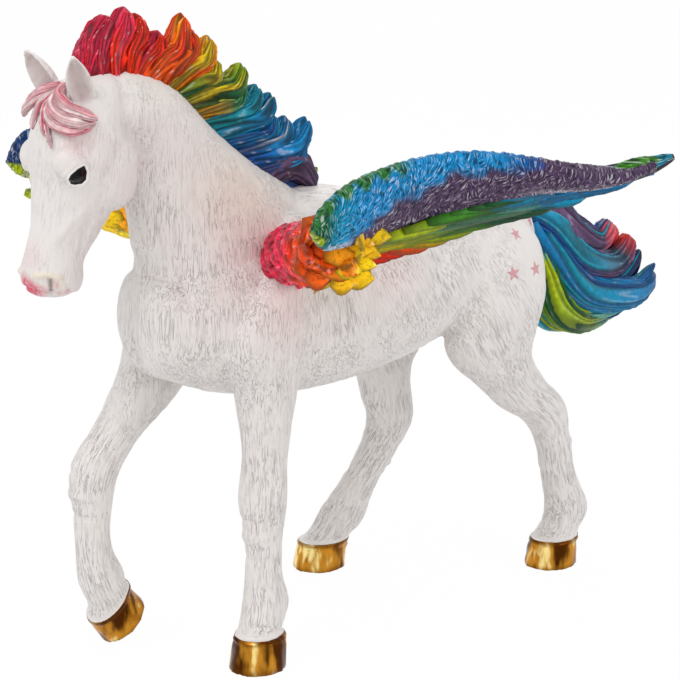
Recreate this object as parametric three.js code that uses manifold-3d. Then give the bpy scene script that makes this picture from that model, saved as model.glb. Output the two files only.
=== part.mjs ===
// Winged horse figurine: a walking horse with spread wings, a standing mane and a waved tail.
// Millimetres. +X is the horse's left, +Y its tail end, +Z up, and the ground is z = 0.
import * as THREE from 'three';
import { mergeVertices } from 'three/addons/utils/BufferGeometryUtils.js';
import Module from 'manifold-3d';

const wasm = await Module();
wasm.setup();

// The figurine as a whole: its height with the mane, and how far the tail reaches behind the dock
const maneTop = 124.2;
const tailReach = 40.4;

// How the mouldings fit together
const seamGap = 0.3;             // between the two faces of a glued seam
const pegRadius = 1.6;           // round locating peg
const pegReach = 4.5;            // how far a peg enters its socket
const pegRoot = 4;               // how deep a peg is rooted in its own piece
const socketGap = 0.3;           // round a peg and past its end
const pegSides = 8;

// Resolution of the lofted forms: points round each section, and spans between sections
const spansPerSection = 2;
const barrelSides = 16;
const neckSides = 16;
const headSides = 16;
const legSides = 12;
const featherSides = 4;
const lockSides = 5;
const forelockSides = 4;
const tailSides = 7;
const wingSides = 10;
const vaneSides = 6;
const ridgeSides = 8;
const earSides = 8;
const bowlSides = 6;
const ballSides = 10;
const ballRings = 6;

// Feathers and locks are flat spindles: [share of the length, share of the width], and how much
// of the thickness is left where the width runs out
const featherProfile = [[0, 0.6], [0.6, 1], [1, 0.12]];
const lockProfile = [[0, 0.8], [0.35, 1], [0.75, 0.72], [1, 0.08]];
const bladeFlat = 0.35;

// Trunk: sections across the spine, front to back. half is the half width at the level of the
// widest point, up and down reach from there to the back line and to the belly.
const barrelSections = [
  { y: -50, level: 67, half: 3, up: 5, down: 5 },
  { y: -47.5, level: 66.5, half: 8.5, up: 10, down: 9.5 },
  { y: -42, level: 66, half: 12, up: 14, down: 11.5 },
  { y: -32, level: 67, half: 14.4, up: 17, down: 16.3 },
  { y: -18, level: 67, half: 15.6, up: 21, down: 18.7 },
  { y: -5, level: 66.5, half: 16.6, up: 21.5, down: 18.2 },
  { y: 9, level: 67, half: 17, up: 18, down: 16.6 },
  { y: 21, level: 67.5, half: 15.8, up: 17.2, down: 13.8 },
  { y: 33, level: 68, half: 15, up: 17.6, down: 11.5 },
  { y: 40.4, level: 68, half: 12.4, up: 16.2, down: 11.5 },
  { y: 45.6, level: 68.4, half: 8.8, up: 13.4, down: 10 },
  { y: 49, level: 68.6, half: 4.6, up: 10, down: 6.5 },
  { y: 50.2, level: 68.6, half: 1.8, up: 7, down: 3 },
];

// Neck: sections from the chest to the poll. tilt turns the throat side down from level.
const neckSections = [
  { x: 0, y: -25, z: 71, side: 12.6, front: 23, back: 21, tilt: -25 },
  { x: 0, y: -30.5, z: 79.5, side: 11.2, front: 19, back: 19.5, tilt: -25 },
  { x: 0, y: -36, z: 87.5, side: 9, front: 14.5, back: 14.5, tilt: -31 },
  { x: 0, y: -41.4, z: 95, side: 7.4, front: 11, back: 11.6, tilt: -40 },
  { x: 0, y: -46.4, z: 101.6, side: 6.7, front: 9.4, back: 10.4, tilt: -58 },
  { x: 0, y: -52, z: 105, side: 6.4, front: 8, back: 9, tilt: -82 },
  { x: 0, y: -56.5, z: 105.5, side: 5, front: 6, back: 7, tilt: -95 },
];

// Head: sections from the poll to the lips, tilted so that the face looks a little up.
const headSections = [
  { x: 0, y: -55, z: 113.2, side: 2.6, front: 3, back: 2.6, tilt: 8 },
  { x: 0, y: -56.4, z: 110.6, side: 5.8, front: 6, back: 5.5, tilt: 10 },
  { x: 0, y: -58.6, z: 105, side: 7.8, front: 8.2, back: 8, tilt: 14 },
  { x: 0, y: -60.4, z: 98.4, side: 8.4, front: 8.8, back: 9, tilt: 17 },
  { x: 0, y: -61.6, z: 91.8, side: 6.8, front: 7.4, back: 8.2, tilt: 17 },
  { x: 0, y: -63.6, z: 86, side: 5.3, front: 5.9, back: 6.6, tilt: 16 },
  { x: 0, y: -65.4, z: 81.6, side: 4.9, front: 5.3, back: 5.4, tilt: 14 },
  { x: 0, y: -66.4, z: 78.2, side: 5.2, front: 5.4, back: 6, tilt: 10 },
  { x: 0, y: -66.6, z: 75.8, side: 4.6, front: 4.6, back: 5.4, tilt: 4 },
  { x: 0, y: -66.4, z: 74.4, side: 2.6, front: 2.6, back: 3, tilt: 0 },
];

// Features of the head, on the left side
const cheek = { at: [4.6, -56.4, 96.2], size: [3.6, 6.2, 7.2] };
const browRidge = { at: [6, -64.4, 99], size: [2.4, 3.4, 2.2] };
const eyeBall = { at: [6.9, -64.8, 96.8], size: [1.4, 2.2, 1.5] };
const nostril = { at: [3.8, -70.4, 78.6], size: [1.3, 1.5, 1.2] };
const ear = {
  root: [4.7, -61.2, 108.4], tip: [8, -65.2, 116.9], half: 2.8, depth: 2.3, bowl: 0.62, tilt: 30,
};
const earProfile = [[-0.15, 0.85], [0.15, 1], [0.45, 0.95], [0.75, 0.62], [1, 0.12]];
const earBowlProfile = [[0.2, 0.35], [0.4, 1], [0.65, 0.7], [0.88, 0.15]];

// Foreleg: half sizes of the sections from the shoulder blade to the sole
const forelegSections = [
  { side: 3, front: 4, back: 4 },
  { side: 5.6, front: 8.6, back: 8.6 },
  { side: 5.8, front: 11, back: 10 },
  { side: 5.6, front: 9, back: 9 },
  { side: 5, front: 6.2, back: 7 },
  { side: 4.1, front: 4.5, back: 4.6 },
  { side: 4.4, front: 5.1, back: 4.5 },
  { side: 3.4, front: 3.8, back: 3.8 },
  { side: 3.3, front: 3.5, back: 3.6 },
  { side: 3.9, front: 4.2, back: 4.9 },
  { side: 3.9, front: 4.2, back: 4 },
];
const hoofLean = 0.12;            // how far the coronet lies behind the sole, for its height
const foreHoof = { side: 5.3, front: 5.6, back: 5.1, crown: 0.93, height: 5.6 };

// Hind leg: half sizes of the sections from the hip to the pastern
const hindLegSections = [
  { side: 2.4, front: 5, back: 4 },
  { side: 6, front: 13, back: 8 },
  { side: 6.6, front: 16, back: 8.2 },
  { side: 6.2, front: 14.4, back: 8.8 },
  { side: 4.9, front: 7.6, back: 7.2 },
  { side: 4, front: 6.2, back: 6.2 },
  { side: 3.9, front: 5.2, back: 6.2 },
  { side: 3.2, front: 4.2, back: 4.9 },
  { side: 3, front: 4.1, back: 4.3 },
  { side: 3.8, front: 4.7, back: 6 },
  { side: 3.8, front: 4.6, back: 4.6 },
];
const hindHoof = { side: 5.2, front: 6, back: 5.6, crown: 0.93, height: 5.2 };

// Poses: where each section of a leg lies, from the top down, and the middle of the sole.
// tilt lifts the front of a section; seam is the level and lean of the glued joint.
const legPoses = {
  left_foreleg: {
    side: 1,
    sections: forelegSections,
    hoof: foreHoof,
    joints: [
      [8.6, -17, 85, 0], [11.2, -22.5, 77, -20], [12, -27, 67.5, -20], [11.2, -27.5, 59, -8],
      [10.6, -27.4, 52, 0], [11, -27.8, 40, 0], [11.6, -28.6, 31.5, 0], [12.2, -29.2, 24, 0],
      [12.8, -29.9, 17, 0], [13.6, -30.4, 11.4, 5], [15, -32.2, 7.2, 12],
    ],
    sole: { at: [16, -33.6, 0], tilt: 0 },
    seam: { at: [10.6, -27, 46.5], tilt: 0 },
  },
  right_foreleg: {
    side: -1,
    sections: forelegSections,
    hoof: foreHoof,
    joints: [
      [-8.6, -18, 85, 0], [-11.2, -25, 77, -22], [-12, -30.5, 68, -24], [-11.4, -34.5, 60, 12],
      [-11, -40, 51.5, 30], [-10.8, -46.8, 43.4, 30], [-10.8, -52, 36, 12], [-10.8, -53, 28, 0],
      [-10.8, -53, 21, 0], [-10.8, -52, 14.8, -8], [-11.2, -50, 10.4, -24],
    ],
    sole: { at: [-12.4, -45.8, 3.9], tilt: -44 },
    seam: { at: [-10.9, -43.6, 47.2], tilt: 30 },
  },
  left_hind_leg: {
    side: 1,
    sections: hindLegSections,
    hoof: hindHoof,
    joints: [
      [8.4, 33.5, 79.6, 0], [10.2, 35, 73, 0], [11.4, 35.5, 63, 0], [11, 33.5, 54, -8],
      [10.4, 35.2, 46.5, -22], [10, 41, 40, -24], [10, 47.4, 34.4, -12], [10, 50.4, 28, -2],
      [10, 52.4, 20, -2], [10.4, 54.4, 12, 6], [11, 52.6, 7.8, 18],
    ],
    sole: { at: [11.4, 49.8, 0], tilt: 0 },
    seam: { at: [10.2, 35.4, 48], tilt: -16 },
  },
  right_hind_leg: {
    side: -1,
    sections: hindLegSections,
    hoof: hindHoof,
    joints: [
      [-8.4, 31.5, 79.6, 0], [-10.2, 32.5, 73, 0], [-11.4, 30.5, 63, 0], [-11.2, 24.5, 54, 8],
      [-11.4, 20.8, 46, 2], [-12, 21.8, 39, -8], [-13, 23.4, 32.4, 8], [-14.4, 21.6, 26, 22],
      [-16, 17.8, 18.5, 24], [-17.8, 14, 11.4, 22], [-18.6, 11.6, 7.4, 18],
    ],
    sole: { at: [-19.4, 9.4, 0], tilt: 0 },
    seam: { at: [-11.4, 20.6, 47], tilt: 4 },
  },
};

// Seams of the neck: at and tilt give a plane across it; the head starts beyond the second
const neckSeam = { at: [0, -33.5, 83], tilt: -27 };
const headSeam = { at: [0, -51.2, 104], tilt: -84 };

// Wings, as the left one lies: a short arm goes out and forward to the bend, then the hand
// sweeps back beside the body. The points of each curve run from the bend to the tip.
const wingRoot = [9.5, -20.5, 77];
const wingBend = [48.8, -41, 87];
const wingTopEdge = [
  [50, -46.6, 91], [50.6, -42.5, 96], [50.4, -35, 99], [50.2, -23, 100.6], [52, -12.5, 100.8],
  [55, -3.5, 99.2], [57.4, 6, 96.8], [58.6, 16, 95.2], [58, 26, 96.2],
];
const wingBandEdge = [
  [49.8, -46.4, 90], [49, -43.4, 85.2], [47.6, -35, 85.2], [45.6, -23, 88], [47, -10, 90.4],
  [50, 0.5, 92], [53.6, 10, 93], [56, 18.5, 93.6], [57, 26.5, 94.8],
];
const wingTrailingEdge = [
  [14, -21.5, 71.6], [16.5, -15.5, 73.6], [20.5, -12, 76.8], [26, -7, 79.8], [32, -2.4, 82.4],
  [37.4, 5, 85.6], [42, 11, 87.4], [46, 15.5, 89.2], [50, 22, 91.8], [54, 29, 93.6],
];
const wingFeatherRoots = [
  [12, -23.4, 75], [20, -27, 78.4], [28, -30.8, 81], [36, -34.6, 83.6], [43.6, -37, 85.6],
  [47, -28.6, 87], [47.4, -14, 89.6], [49, -4, 91.4], [51, 4, 92.8], [54, 13, 94.4],
];
const wingTip = [57, 36, 97.6];
const wingBand = {
  thickness: 4.2, thin: 0.25, fullHalfWidth: 3,
  stations: [0, 0.06, 0.15, 0.27, 0.4, 0.53, 0.66, 0.79, 0.9, 1],
};
const wingPegAt = [14, -19.5, 76.5];
const wingArm = { rootHeight: 5.4, rootDepth: 5.6, bendHeight: 3, bendDepth: 4.6, spans: 4 };
const wingVane = { thickness: 1.6, from: 0.02, to: 0.97, reach: 0.9, steps: 8 };
const rightWingDroop = 0.24;     // slope by which the right wing hangs lower towards its tip
const featherBow = 0.6;          // how far a feather bows out, as a share of its thickness
const trailingFeathers = 11;
const trailingFeather = { width: 5.6, thickness: 1.9 };
const coverFeathers = 6;
const coverFeather = { width: 6, thickness: 1.9, share: 0.6, lift: 1 };
const primaryFeathers = 4;
const primaryFeather = {
  width: 3.6, thickness: 1.5, spread: 1.9, start: 0.72, step: 0.13, lean: 0.35,
};
const rootTuftRows = 2;
const rootTuftsPerRow = 4;
const rootTuft = {
  length: 8, width: 6, thickness: 2.6, turn: 0.13, start: 0.08, step: 0.19, sink: 0.9, dip: 0.2,
};

// Mane: the crest line from poll to withers, where the locks are rooted
const crestLine = [
  [0, -57.5, 111.8], [0, -51.5, 113.4], [0, -44.5, 111.8], [0, -38, 107.2], [0, -29.6, 98.6],
  [0, -18.8, 91.8], [0, -7.5, 88],
];
const maneRidge = { half: 2.8, height: 8, depth: 3, steps: 12, from: 0.1, to: 0.92, fullness: 0.6 };
// Each lock stands at a share of the crest line, and its tip is [y, z] with a sideways offset
const maneLocks = [
  { along: 0.015, tip: [-58.4, 116], side: 0.9 },
  { along: 0.045, tip: [-55.8, 119.8], side: -1.3 },
  { along: 0.09, tip: [-49.4, maneTop], side: 1 },
  { along: 0.14, tip: [-46.8, 121.6], side: -1.3 },
  { along: 0.21, tip: [-41.4, 118.4], side: 1.4 },
  { along: 0.27, tip: [-37.6, 122.4], side: -0.3 },
  { along: 0.35, tip: [-31.4, 117.8], side: 1.3 },
  { along: 0.42, tip: [-27.4, 113.6], side: -1.3 },
  { along: 0.49, tip: [-24, 112.4], side: 0.9 },
  { along: 0.56, tip: [-20.6, 108], side: -1.3 },
  { along: 0.62, tip: [-17.2, 106.2], side: 1.1 },
  { along: 0.69, tip: [-13.6, 101.8], side: -1.2 },
  { along: 0.75, tip: [-8.8, 101.4], side: 1.1 },
  { along: 0.82, tip: [-12, 95.4], side: 0.8 },
  { along: 0.88, tip: [-7.4, 89.4], side: -0.3 },
];
const maneLock = {
  width: 8.4, thickness: 4, bow: 1.6, waist: 0.4, shoulder: 0.75, dip: 0.48, sink: 1, spread: 0.6,
};

// The parting between the mane and the forelock, a plane across the poll
const hairPart = { at: [0, -60.2, 112], tilt: -90 };

// Cutting blocks: wider than the neck and head, and round one leg only
const cutReach = 120;
const legCut = { width: 40, length: 46, depth: 90, fromMiddle: 1 };

// Forelock: locks parted over the brow, most of them swept to the left, a few hanging down
const forelockRoot = [0, -60.8, 111.4];
const forelockLocks = [
  { path: [[2.6, -64.9, 109.8], [5.4, -64.6, 107.9], [7.8, -61.8, 106.3]], width: 3 },
  { path: [[2.2, -65.8, 108.4], [5, -65.9, 106.3], [8, -62.4, 105.2]], width: 3 },
  { path: [[1.9, -66.4, 107.4], [4.6, -66.6, 105.1], [7.8, -63.6, 104.2]], width: 2.8 },
  { path: [[1.4, -66.8, 106.8], [3.2, -67.7, 104], [4.5, -67.9, 101.4]], width: 1.6 },
  { path: [[0.6, -66.2, 108], [1.6, -67.6, 105.6], [2.6, -68.1, 103.2]], width: 1.8 },
  { path: [[-1.1, -66.2, 108.2], [-1.7, -67.3, 106.2], [-1.7, -67.7, 104.4]], width: 2.2 },
  { path: [[-3, -65.6, 108.9], [-5.4, -66.4, 107.2], [-7.4, -66.1, 105.4]], width: 2.6 },
  { path: [[-3.4, -64.4, 110], [-6, -65.2, 108.4], [-8.4, -65.1, 106.2]], width: 2.8 },
];
const forelockThickness = 2.2;
const forelockFace = [0, -0.8, 0.6];
const forelockFan = { spread: 0.25, step: 0.05 };

// Tail: locks from the dock, each as points behind and below it, and their thickness
const dock = [0, 51.4, 76.6];
const tailLocks = [
  { path: [[0, 6, -1.5], [1.4, 14, -8.5], [2, 20, -9.5], [1.4, 23.8, -5]], half: 4 },
  { path: [[0, 6, -5], [-1.6, 14, -13.4], [-2, 24, -14.6], [-1.2, 30.8, -9.4]], half: 4.8 },
  { path: [[0, 5, -8], [1.6, 13, -18.4], [2, 27, -20], [1.2, 37.4, -14.6]], half: 5 },
  { path: [[0, 4, -9], [-1.4, 11, -22], [-1.8, 26, -24], [-1, tailReach, -20.4]], half: 5 },
  { path: [[0, 3.8, -11], [1.6, 9.6, -23], [1.6, 18, -26.4], [0.8, 28.4, -25]], half: 4.6 },
  { path: [[0, 3.2, -10], [-1.6, 6.8, -20], [-1.4, 12, -26], [-0.8, 19, -26.8]], half: 4.2 },
];
const tailPegStep = [0, 2.9, -2.6];
const tailLock = { flatness: 1.05, startStep: [0, -0.45, -0.7] };

const degree = Math.PI / 180;
const xAxis = new THREE.Vector3(1, 0, 0);

function vector(values) {
  return new THREE.Vector3(values[0], values[1], values[2]);
}

// A closed mesh through rings of equal point count, with a flat end at each end
function skin(rings) {
  const sides = rings[0].length;
  const points = rings.flat();
  const triangles = [];
  for (let ring = 0; ring + 1 < rings.length; ring += 1) {
    for (let side = 0; side < sides; side += 1) {
      const next = (side + 1) % sides;
      const a = ring * sides + side;
      const b = ring * sides + next;
      triangles.push(a, b, b + sides, a, b + sides, a + sides);
    }
  }
  for (const [ring, flip] of [[0, true], [rings.length - 1, false]]) {
    const middle = new THREE.Vector3();
    rings[ring].forEach((point) => middle.addScaledVector(point, 1 / sides));
    const centre = points.push(middle) - 1;
    for (let side = 0; side < sides; side += 1) {
      const a = ring * sides + side;
      const b = ring * sides + ((side + 1) % sides);
      triangles.push(...(flip ? [centre, b, a] : [centre, a, b]));
    }
  }
  const geometry = new THREE.BufferGeometry();
  geometry.setAttribute('position', new THREE.Float32BufferAttribute(
    points.flatMap((point) => point.toArray()), 3));
  geometry.setIndex(triangles);
  return volumeOf(geometry) < 0 ? turnedOut(geometry) : geometry;
}

function volumeOf(geometry) {
  const position = geometry.getAttribute('position');
  const index = geometry.getIndex().array;
  const corner = (i) => new THREE.Vector3().fromBufferAttribute(position, index[i]);
  let volume = 0;
  for (let i = 0; i < index.length; i += 3) {
    volume += corner(i).dot(corner(i + 1).cross(corner(i + 2))) / 6;
  }
  return volume;
}

function turnedOut(geometry) {
  const index = Array.from(geometry.getIndex().array);
  for (let i = 0; i < index.length; i += 3) {
    [index[i], index[i + 1]] = [index[i + 1], index[i]];
  }
  geometry.setIndex(index);
  return geometry;
}

// Boolean work: a geometry becomes a solid and a solid becomes a geometry again
function solid(geometry) {
  const bare = geometry.clone();
  bare.deleteAttribute('normal');
  bare.deleteAttribute('uv');
  const merged = mergeVertices(bare, 1e-5);
  return new wasm.Manifold(new wasm.Mesh({
    numProp: 3,
    vertProperties: Float32Array.from(merged.getAttribute('position').array),
    triVerts: Uint32Array.from(merged.getIndex().array),
  }));
}

function geometryOf(shape) {
  const mesh = shape.getMesh();
  const geometry = new THREE.BufferGeometry();
  geometry.setAttribute('position', new THREE.BufferAttribute(mesh.vertProperties, 3));
  geometry.setIndex(new THREE.BufferAttribute(mesh.triVerts, 1));
  geometry.computeVertexNormals();
  return geometry;
}

function joined(shapes) {
  return shapes.reduce((whole, shape) => whole.add(shape));
}

// Smooth sections between the given ones
function between(sections, perSpan) {
  const names = Object.keys(sections[0]);
  const dense = [];
  for (let span = 0; span + 1 < sections.length; span += 1) {
    const around = [span - 1, span, span + 1, span + 2].map(
      (i) => sections[Math.min(Math.max(i, 0), sections.length - 1)]);
    for (let step = 0; step < perSpan; step += 1) {
      const t = step / perSpan;
      const section = {};
      for (const name of names) {
        const [a, b, c, d] = around.map((one) => one[name]);
        section[name] = 0.5 * (2 * b + (c - a) * t + (2 * a - 5 * b + 4 * c - d) * t * t
          + (3 * b - a - 3 * c + d) * t * t * t);
      }
      dense.push(section);
    }
  }
  dense.push(sections[sections.length - 1]);
  return dense;
}

// One section: front looks along -y, lifted by tilt; grow widens the section all round
function sectionRing(section, sides, grow) {
  const lift = section.tilt * degree;
  const front = new THREE.Vector3(0, -Math.cos(lift), Math.sin(lift));
  const ring = [];
  for (let i = 0; i < sides; i += 1) {
    const angle = (i / sides) * 2 * Math.PI;
    const reach = (Math.sin(angle) > 0 ? section.front : section.back) + grow;
    ring.push(new THREE.Vector3(section.x, section.y, section.z)
      .addScaledVector(xAxis, Math.cos(angle) * (section.side + grow))
      .addScaledVector(front, Math.sin(angle) * reach));
  }
  return ring;
}

function loft(sections, sides, perSpan, grow) {
  const rings = between(sections, perSpan).map((section) => sectionRing(section, sides, grow));
  return solid(skin(rings));
}

function ellipsoid(at, size, grow) {
  const geometry = new THREE.SphereGeometry(1, ballSides, ballRings);
  geometry.scale(size[0] + grow, size[1] + grow, size[2] + grow);
  geometry.translate(at[0], at[1], at[2]);
  return solid(geometry);
}

function mirrored(values, side) {
  return [side * values[0], values[1], values[2]];
}

// The body form, before it is divided at the seams
function barrelForm(grow) {
  const sections = barrelSections.map((one) => ({
    x: 0, y: one.y, z: one.level, side: one.half, front: one.up, back: one.down, tilt: 90,
  }));
  return loft(sections, barrelSides, spansPerSection, grow);
}

function neckForm(grow) {
  return loft(neckSections, neckSides, spansPerSection, grow);
}

function earForm(side, grow) {
  const root = vector(mirrored(ear.root, side));
  const tip = vector(mirrored(ear.tip, side));
  const rings = [];
  for (const [along, share] of earProfile) {
    const middle = root.clone().lerp(tip, along);
    rings.push(sectionRing({
      x: middle.x, y: middle.y, z: middle.z, tilt: ear.tilt,
      side: ear.half * share, front: ear.depth * share, back: ear.depth * share,
    }, earSides, grow));
  }
  return solid(skin(rings));
}

// The hollow cut into the front of an ear
function earBowl(side) {
  const root = vector(mirrored(ear.root, side));
  const tip = vector(mirrored(ear.tip, side));
  const rings = [];
  for (const [along, share] of earBowlProfile) {
    const middle = root.clone().lerp(tip, along);
    rings.push(sectionRing({
      x: middle.x, y: middle.y - ear.depth, z: middle.z + ear.depth / 2, tilt: ear.tilt,
      side: ear.half * share * ear.bowl, front: ear.depth, back: ear.depth * share * ear.bowl,
    }, bowlSides, 0));
  }
  return solid(skin(rings));
}

function headForm(grow) {
  const parts = [loft(headSections, headSides, spansPerSection, grow)];
  for (const side of [1, -1]) {
    for (const lump of [cheek, browRidge, eyeBall]) {
      parts.push(ellipsoid(mirrored(lump.at, side), lump.size, grow));
    }
    parts.push(earForm(side, grow));
  }
  return joined(parts);
}

function hoofSections(leg) {
  const { hoof, sole } = leg;
  const up = new THREE.Vector3(0, Math.sin(sole.tilt * degree), Math.cos(sole.tilt * degree));
  const section = (lift, share) => {
    const at = vector(sole.at).addScaledVector(up, lift);
    return {
      x: at.x, y: at.y + lift * hoofLean, z: at.z, tilt: sole.tilt,
      side: hoof.side * share, front: hoof.front * share, back: hoof.back * share,
    };
  };
  return { crown: section(hoof.height, hoof.crown), sole: section(0, 1) };
}

function legForm(leg, grow) {
  const sections = leg.sections.map((size, i) => {
    const [x, y, z, tilt] = leg.joints[i];
    return { x, y, z, tilt, ...size };
  });
  const { crown, sole } = hoofSections(leg);
  const smooth = between([...sections, crown], spansPerSection);
  const rings = [...smooth, sole].map((section) => sectionRing(section, legSides, grow));
  return solid(skin(rings));
}

function bodyForm(grow) {
  const legs = Object.values(legPoses).map((leg) => legForm(leg, grow));
  return joined([barrelForm(grow), neckForm(grow), headForm(grow), ...legs]);
}

// Everything on the far side of a plane: a block whose top or bottom face is the plane
function beyond(seam, sign, offset) {
  const block = new THREE.BoxGeometry(cutReach, cutReach, cutReach);
  block.translate(0, 0, sign * (cutReach / 2 + offset));
  block.rotateX(-seam.tilt * degree);
  block.translate(seam.at[0], seam.at[1], seam.at[2]);
  return solid(block);
}

function peg(at, direction, grow) {
  const length = pegReach + pegRoot + grow;
  const geometry = new THREE.CylinderGeometry(pegRadius + grow, pegRadius + grow, length, pegSides);
  geometry.translate(0, length / 2 - pegRoot, 0);
  const turn = new THREE.Quaternion().setFromUnitVectors(
    new THREE.Vector3(0, 1, 0), direction.clone().normalize());
  geometry.applyQuaternion(turn);
  geometry.translate(at.x, at.y, at.z);
  return solid(geometry);
}

function seamNormal(seam) {
  return new THREE.Vector3(0, Math.sin(seam.tilt * degree), Math.cos(seam.tilt * degree));
}

// The block that holds one leg below its seam, kept to the leg's own side of the body
function legBlock(leg, offset) {
  const block = new THREE.BoxGeometry(legCut.width, legCut.length, legCut.depth);
  block.translate(0, 0, -legCut.depth / 2 - offset);
  block.rotateX(-leg.seam.tilt * degree);
  block.translate(leg.side * (legCut.width / 2 + legCut.fromMiddle), leg.seam.at[1],
    leg.seam.at[2]);
  return solid(block);
}

// Wing forms
function onWing(values, side) {
  const [x, y, z] = values;
  const outward = Math.min(Math.max((x - wingRoot[0]) / (wingBend[0] - wingRoot[0]), 0), 1);
  const droop = side < 0 ? rightWingDroop * outward * Math.max(0, y - wingBend[1]) : 0;
  return new THREE.Vector3(side * x, y, z - droop);
}

function curveThrough(points) {
  return new THREE.CatmullRomCurve3(points, false, 'centripetal');
}

function wingCurve(points, side) {
  return curveThrough(points.map((values) => onWing(values, side)));
}

// A ring with its long half along chord and its short half along depth
function ovalRing(centre, chord, depth, sides) {
  const ring = [];
  for (let i = 0; i < sides; i += 1) {
    const angle = (i / sides) * 2 * Math.PI;
    ring.push(centre.clone()
      .addScaledVector(chord, Math.cos(angle))
      .addScaledVector(depth, Math.sin(angle)));
  }
  return ring;
}

// A feather or a lock of hair: a flattened spindle along a curve, pointed at its end
function blade(curve, face, width, thickness, profile, sides) {
  const rings = profile.map(([along, share]) => {
    const tangent = curve.getTangent(along);
    const across = new THREE.Vector3().crossVectors(face, tangent).normalize();
    const depth = new THREE.Vector3().crossVectors(tangent, across).normalize();
    return ovalRing(curve.getPoint(along), across.multiplyScalar(width * share / 2),
      depth.multiplyScalar(thickness * (bladeFlat + (1 - bladeFlat) * share) / 2), sides);
  });
  return solid(skin(rings));
}

function wingBandForm(side) {
  const top = wingCurve(wingTopEdge, side);
  const edge = wingCurve(wingBandEdge, side);
  const rings = [];
  for (const along of wingBand.stations) {
    const upper = top.getPoint(along);
    const lower = edge.getPoint(along);
    const chord = upper.clone().sub(lower).multiplyScalar(0.5);
    const fullness = Math.min(1, wingBand.thin
      + (1 - wingBand.thin) * chord.length() / wingBand.fullHalfWidth);
    const depth = new THREE.Vector3().crossVectors(chord, top.getTangent(Math.max(along, 0.05)))
      .normalize().multiplyScalar(wingBand.thickness / 2 * fullness);
    rings.push(ovalRing(upper.clone().add(lower).multiplyScalar(0.5), chord, depth, wingSides));
  }
  return solid(skin(rings));
}

function wingArmForm(side) {
  const start = onWing(wingRoot, side);
  const end = onWing(wingBend, side);
  const tangent = end.clone().sub(start).normalize();
  const across = new THREE.Vector3().crossVectors(tangent, new THREE.Vector3(0, 0, 1)).normalize();
  const up = new THREE.Vector3().crossVectors(across, tangent);
  const rings = [];
  for (let i = 0; i <= wingArm.spans; i += 1) {
    const along = i / wingArm.spans;
    const height = THREE.MathUtils.lerp(wingArm.rootHeight, wingArm.bendHeight, along);
    const depth = THREE.MathUtils.lerp(wingArm.rootDepth, wingArm.bendDepth, along);
    rings.push(ovalRing(start.clone().lerp(end, along), up.clone().multiplyScalar(height),
      across.clone().multiplyScalar(depth), wingSides));
  }
  return solid(skin(rings));
}

function featherFrom(start, end, face, size) {
  const bow = start.clone().lerp(end, 0.5).addScaledVector(face, size.thickness * featherBow);
  return blade(new THREE.QuadraticBezierCurve3(start, bow, end), face, size.width,
    size.thickness, featherProfile, featherSides);
}

// The thin web that carries the feathers, from their roots to just inside their tips
function wingVaneForm(side) {
  const roots = wingCurve(wingFeatherRoots, side);
  const tips = wingCurve(wingTrailingEdge, side);
  const rings = [];
  for (let i = 0; i <= wingVane.steps; i += 1) {
    const along = THREE.MathUtils.lerp(wingVane.from, wingVane.to, i / wingVane.steps);
    const upper = roots.getPoint(along);
    const lower = upper.clone().lerp(tips.getPoint(along), wingVane.reach);
    const chord = upper.clone().sub(lower).multiplyScalar(0.5);
    const depth = new THREE.Vector3().crossVectors(chord, roots.getTangent(along))
      .normalize().multiplyScalar(wingVane.thickness / 2);
    rings.push(ovalRing(upper.clone().add(lower).multiplyScalar(0.5), chord, depth, vaneSides));
  }
  return solid(skin(rings));
}

function wingFeathers(side) {
  const roots = wingCurve(wingFeatherRoots, side);
  const tips = wingCurve(wingTrailingEdge, side);
  const faceAt = (along) => {
    const down = tips.getPoint(along).sub(roots.getPoint(along));
    return new THREE.Vector3().crossVectors(down, roots.getTangent(along)).normalize()
      .multiplyScalar(side);
  };
  const feathers = [];
  for (let i = 0; i < trailingFeathers; i += 1) {
    const along = i / (trailingFeathers - 1);
    feathers.push(featherFrom(roots.getPoint(along), tips.getPoint(along), faceAt(along),
      trailingFeather));
  }
  for (let i = 0; i < coverFeathers; i += 1) {
    const along = (i + 0.5) / coverFeathers;
    const face = faceAt(along);
    const start = roots.getPoint(along);
    const end = start.clone().lerp(tips.getPoint(along), coverFeather.share);
    feathers.push(featherFrom(start, end.addScaledVector(face, coverFeather.lift), face,
      coverFeather));
  }
  return joined(feathers);
}

function wingPrimaries(side) {
  const edge = wingCurve(wingBandEdge, side);
  const tip = onWing(wingTip, side);
  const low = onWing(wingTrailingEdge.at(-1), side);
  const face = new THREE.Vector3(side, 0, primaryFeather.lean).normalize();
  const feathers = [];
  for (let i = 0; i < primaryFeathers; i += 1) {
    const share = i / (primaryFeathers - 1);
    const start = edge.getPoint(primaryFeather.start + primaryFeather.step * (1 - share));
    const end = tip.clone().lerp(low, share);
    const rise = new THREE.Vector3(0, 0, -primaryFeather.spread * (1 - share));
    const middle = start.clone().lerp(end, 0.5).add(rise);
    feathers.push(blade(new THREE.QuadraticBezierCurve3(start, middle, end), face,
      primaryFeather.width, primaryFeather.thickness, featherProfile, featherSides));
  }
  return joined(feathers);
}

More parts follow.
